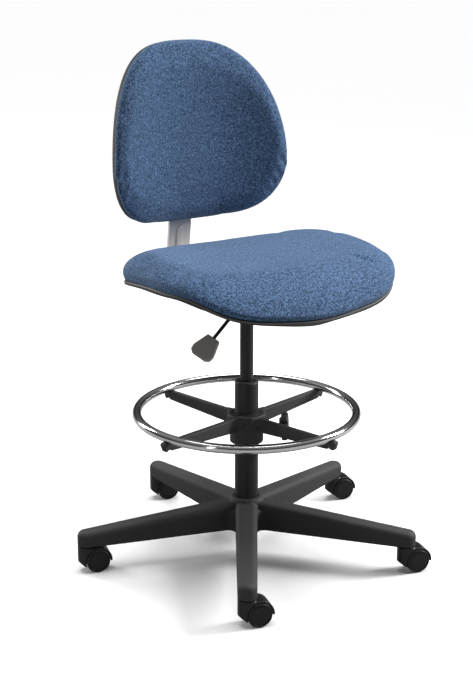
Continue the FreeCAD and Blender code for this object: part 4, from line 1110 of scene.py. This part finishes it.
@dataclass
class FootRing:
    """Chromed ring with its butt weld, on a moulded hub with four spokes."""

    weld_heading: float = math.radians(52)
    weld_rise: float = 0.0003

    def chrome_ring(self) -> None:
        """Bend the tube to a ring and raise its weld."""
        low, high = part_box("foot_ring_tube")
        tube = (high.z - low.z) / 2
        centre = (low + high) / 2
        deselect_all()
        bpy.ops.mesh.primitive_torus_add(major_segments=240, minor_segments=40, location=centre,
                                         major_radius=(high.x - low.x) / 2 - tube, minor_radius=tube)
        piece = bpy.context.object
        piece.name = "chrome_ring"
        bpy.ops.object.transform_apply(location=True, rotation=True, scale=True)
        bpy.ops.object.mode_set(mode="EDIT")
        bpy.ops.mesh.select_all(action="DESELECT")
        bpy.ops.object.mode_set(mode="OBJECT")
        for vertex in piece.data.vertices:
            heading = math.atan2(vertex.co.y - centre.y, vertex.co.x - centre.x)
            vertex.select = abs(heading - self.weld_heading) < 0.008
        bpy.ops.object.mode_set(mode="EDIT")
        bpy.ops.transform.shrink_fatten(value=self.weld_rise)
        bpy.ops.object.mode_set(mode="OBJECT")
        shade_smooth(piece, 60)
        stand_in(piece, "chrome", "foot_ring_tube")

    def build(self) -> None:
        """Make the ring and the hub."""
        self.chrome_ring()
        stand_in(moulded_copy("foot_ring_hub", "spoke_moulding", 0.0014, 5), "base_nylon", "foot_ring_hub")


def soften_grips() -> None:
    """Soften the moulded knobs and the release paddle."""
    for node, name, slot, voxel in (("foot_ring_knob", "ring_clamp_knob", "knob_plastic", 0.0008),
                                    ("depth_knob", "depth_hand_knob", "knob_plastic", 0.0007),
                                    ("height_knob", "height_hand_knob", "knob_plastic", 0.0007),
                                    ("lever_paddle", "release_paddle", "paddle_plastic", 0.0006)):
        stand_in(moulded_copy(node, name, voxel, 4), slot, node)


# -------------------------------------------------------------------------------- studio

@dataclass
class Studio:
    """Plain pale floor, soft lights and the camera."""

    eye: tuple[float, float, float] = (-1.5233, -2.3374, 1.286)
    heading: float = -0.57
    pitch: float = 0.2828
    lens: float = 74.7

    def floor(self) -> None:
        """A pale floor that runs on far behind the chair."""
        deselect_all()
        bpy.ops.mesh.primitive_plane_add(size=120.0, location=(0, 0, -0.0005))
        floor = bpy.context.object
        floor.name = "studio_floor"
        material, nodes, shader = start_material("studio_white")
        seen = nodes.add("ShaderNodeLightPath").outputs["Is Camera Ray"]
        nodes.link(nodes.mix(seen, (0.28, 0.28, 0.28), (0.98, 0.98, 0.98)), shader.inputs["Base Color"])
        shader.inputs["Roughness"].default_value = 0.9
        shader.inputs["Specular IOR Level"].default_value = 0.1
        floor.data.materials.append(material)

    def area_light(self, name: str, place: tuple[float, float, float], aim: tuple[float, float, float],
                   size: tuple[float, float], power: float) -> None:
        """A soft rectangular light that faces its aim."""
        data = bpy.data.lights.new(name, "AREA")
        data.shape = "RECTANGLE"
        data.size, data.size_y = size
        data.energy = power
        light = bpy.data.objects.new(name, data)
        bpy.context.scene.collection.objects.link(light)
        light.location = place
        light.rotation_euler = (Vector(aim) - Vector(place)).to_track_quat("-Z", "Y").to_euler()

    def sky(self) -> None:
        """Soft surroundings, brighter overhead than at the horizon."""
        world = bpy.data.worlds.new("studio_air")
        bpy.context.scene.world = world
        world.use_nodes = True
        nodes = Nodes(world.node_tree)
        split = nodes.add("ShaderNodeSeparateXYZ")
        nodes.link(nodes.add("ShaderNodeTexCoord").outputs["Generated"], split.inputs[0])
        rise = nodes.remap(split.outputs["Z"], 0.1, 0.9, 0.02, 0.24)
        background = world.node_tree.nodes["Background"]
        nodes.link(nodes.mix(rise, (0.0, 0.0, 0.0), (1.0, 1.0, 1.0)), background.inputs["Color"])
        background.inputs["Strength"].default_value = 1.0

    def build(self) -> None:
        """Set up floor, lights, surroundings and camera."""
        bpy.context.scene.view_settings.view_transform = "Standard"
        self.floor()
        self.area_light("key", (2.6, -1.0, 1.8), (0, 0, 0.6), (0.8, 1.3), 112)
        self.area_light("rear", (-1.2, 2.5, 1.4), (0, 0, 0.7), (0.5, 1.6), 40)
        self.area_light("strip", (-2.3, -1.0, 0.8), (0, 0, 0.5), (0.12, 1.8), 6)
        overhead = bpy.data.lights.new("overhead", "SUN")
        overhead.energy, overhead.angle = 2.7, math.radians(50)
        lamp = bpy.data.objects.new("overhead", overhead)
        bpy.context.scene.collection.objects.link(lamp)
        lamp.rotation_euler = Vector((-0.1, -0.15, -1.0)).to_track_quat("-Z", "Y").to_euler()
        self.sky()
        data = bpy.data.cameras.new("camera")
        data.lens = self.lens
        camera = bpy.data.objects.new("camera", data)
        bpy.context.scene.collection.objects.link(camera)
        camera.location = self.eye
        camera.rotation_euler = (math.pi / 2 - self.pitch, 0.0, self.heading)
        bpy.context.scene.camera = camera


# -------------------------------------------------------------------------------- the chair

def dress_frame() -> None:
    """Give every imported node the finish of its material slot."""
    for row in frame["record"]["subparts"]:
        dress(frame["nodes"][row["node"]], SLOT_FINISH[row["material_slot"]])


def main() -> None:
    """Build the chair's looks around its frame."""
    logging.basicConfig(level=logging.INFO, format="%(message)s")
    Studio().build()
    dress_frame()
    StarBase().build()
    Casters().build()
    GasColumn().build()
    FootRing().build()
    soften_grips()
    seat, back = SeatUpholstery(), BackUpholstery()
    seat.build()
    SeatEdgeBand().build(seat)
    back.build()
    BackEdgeBand().build(back)


if __name__ == "__main__":
    main()
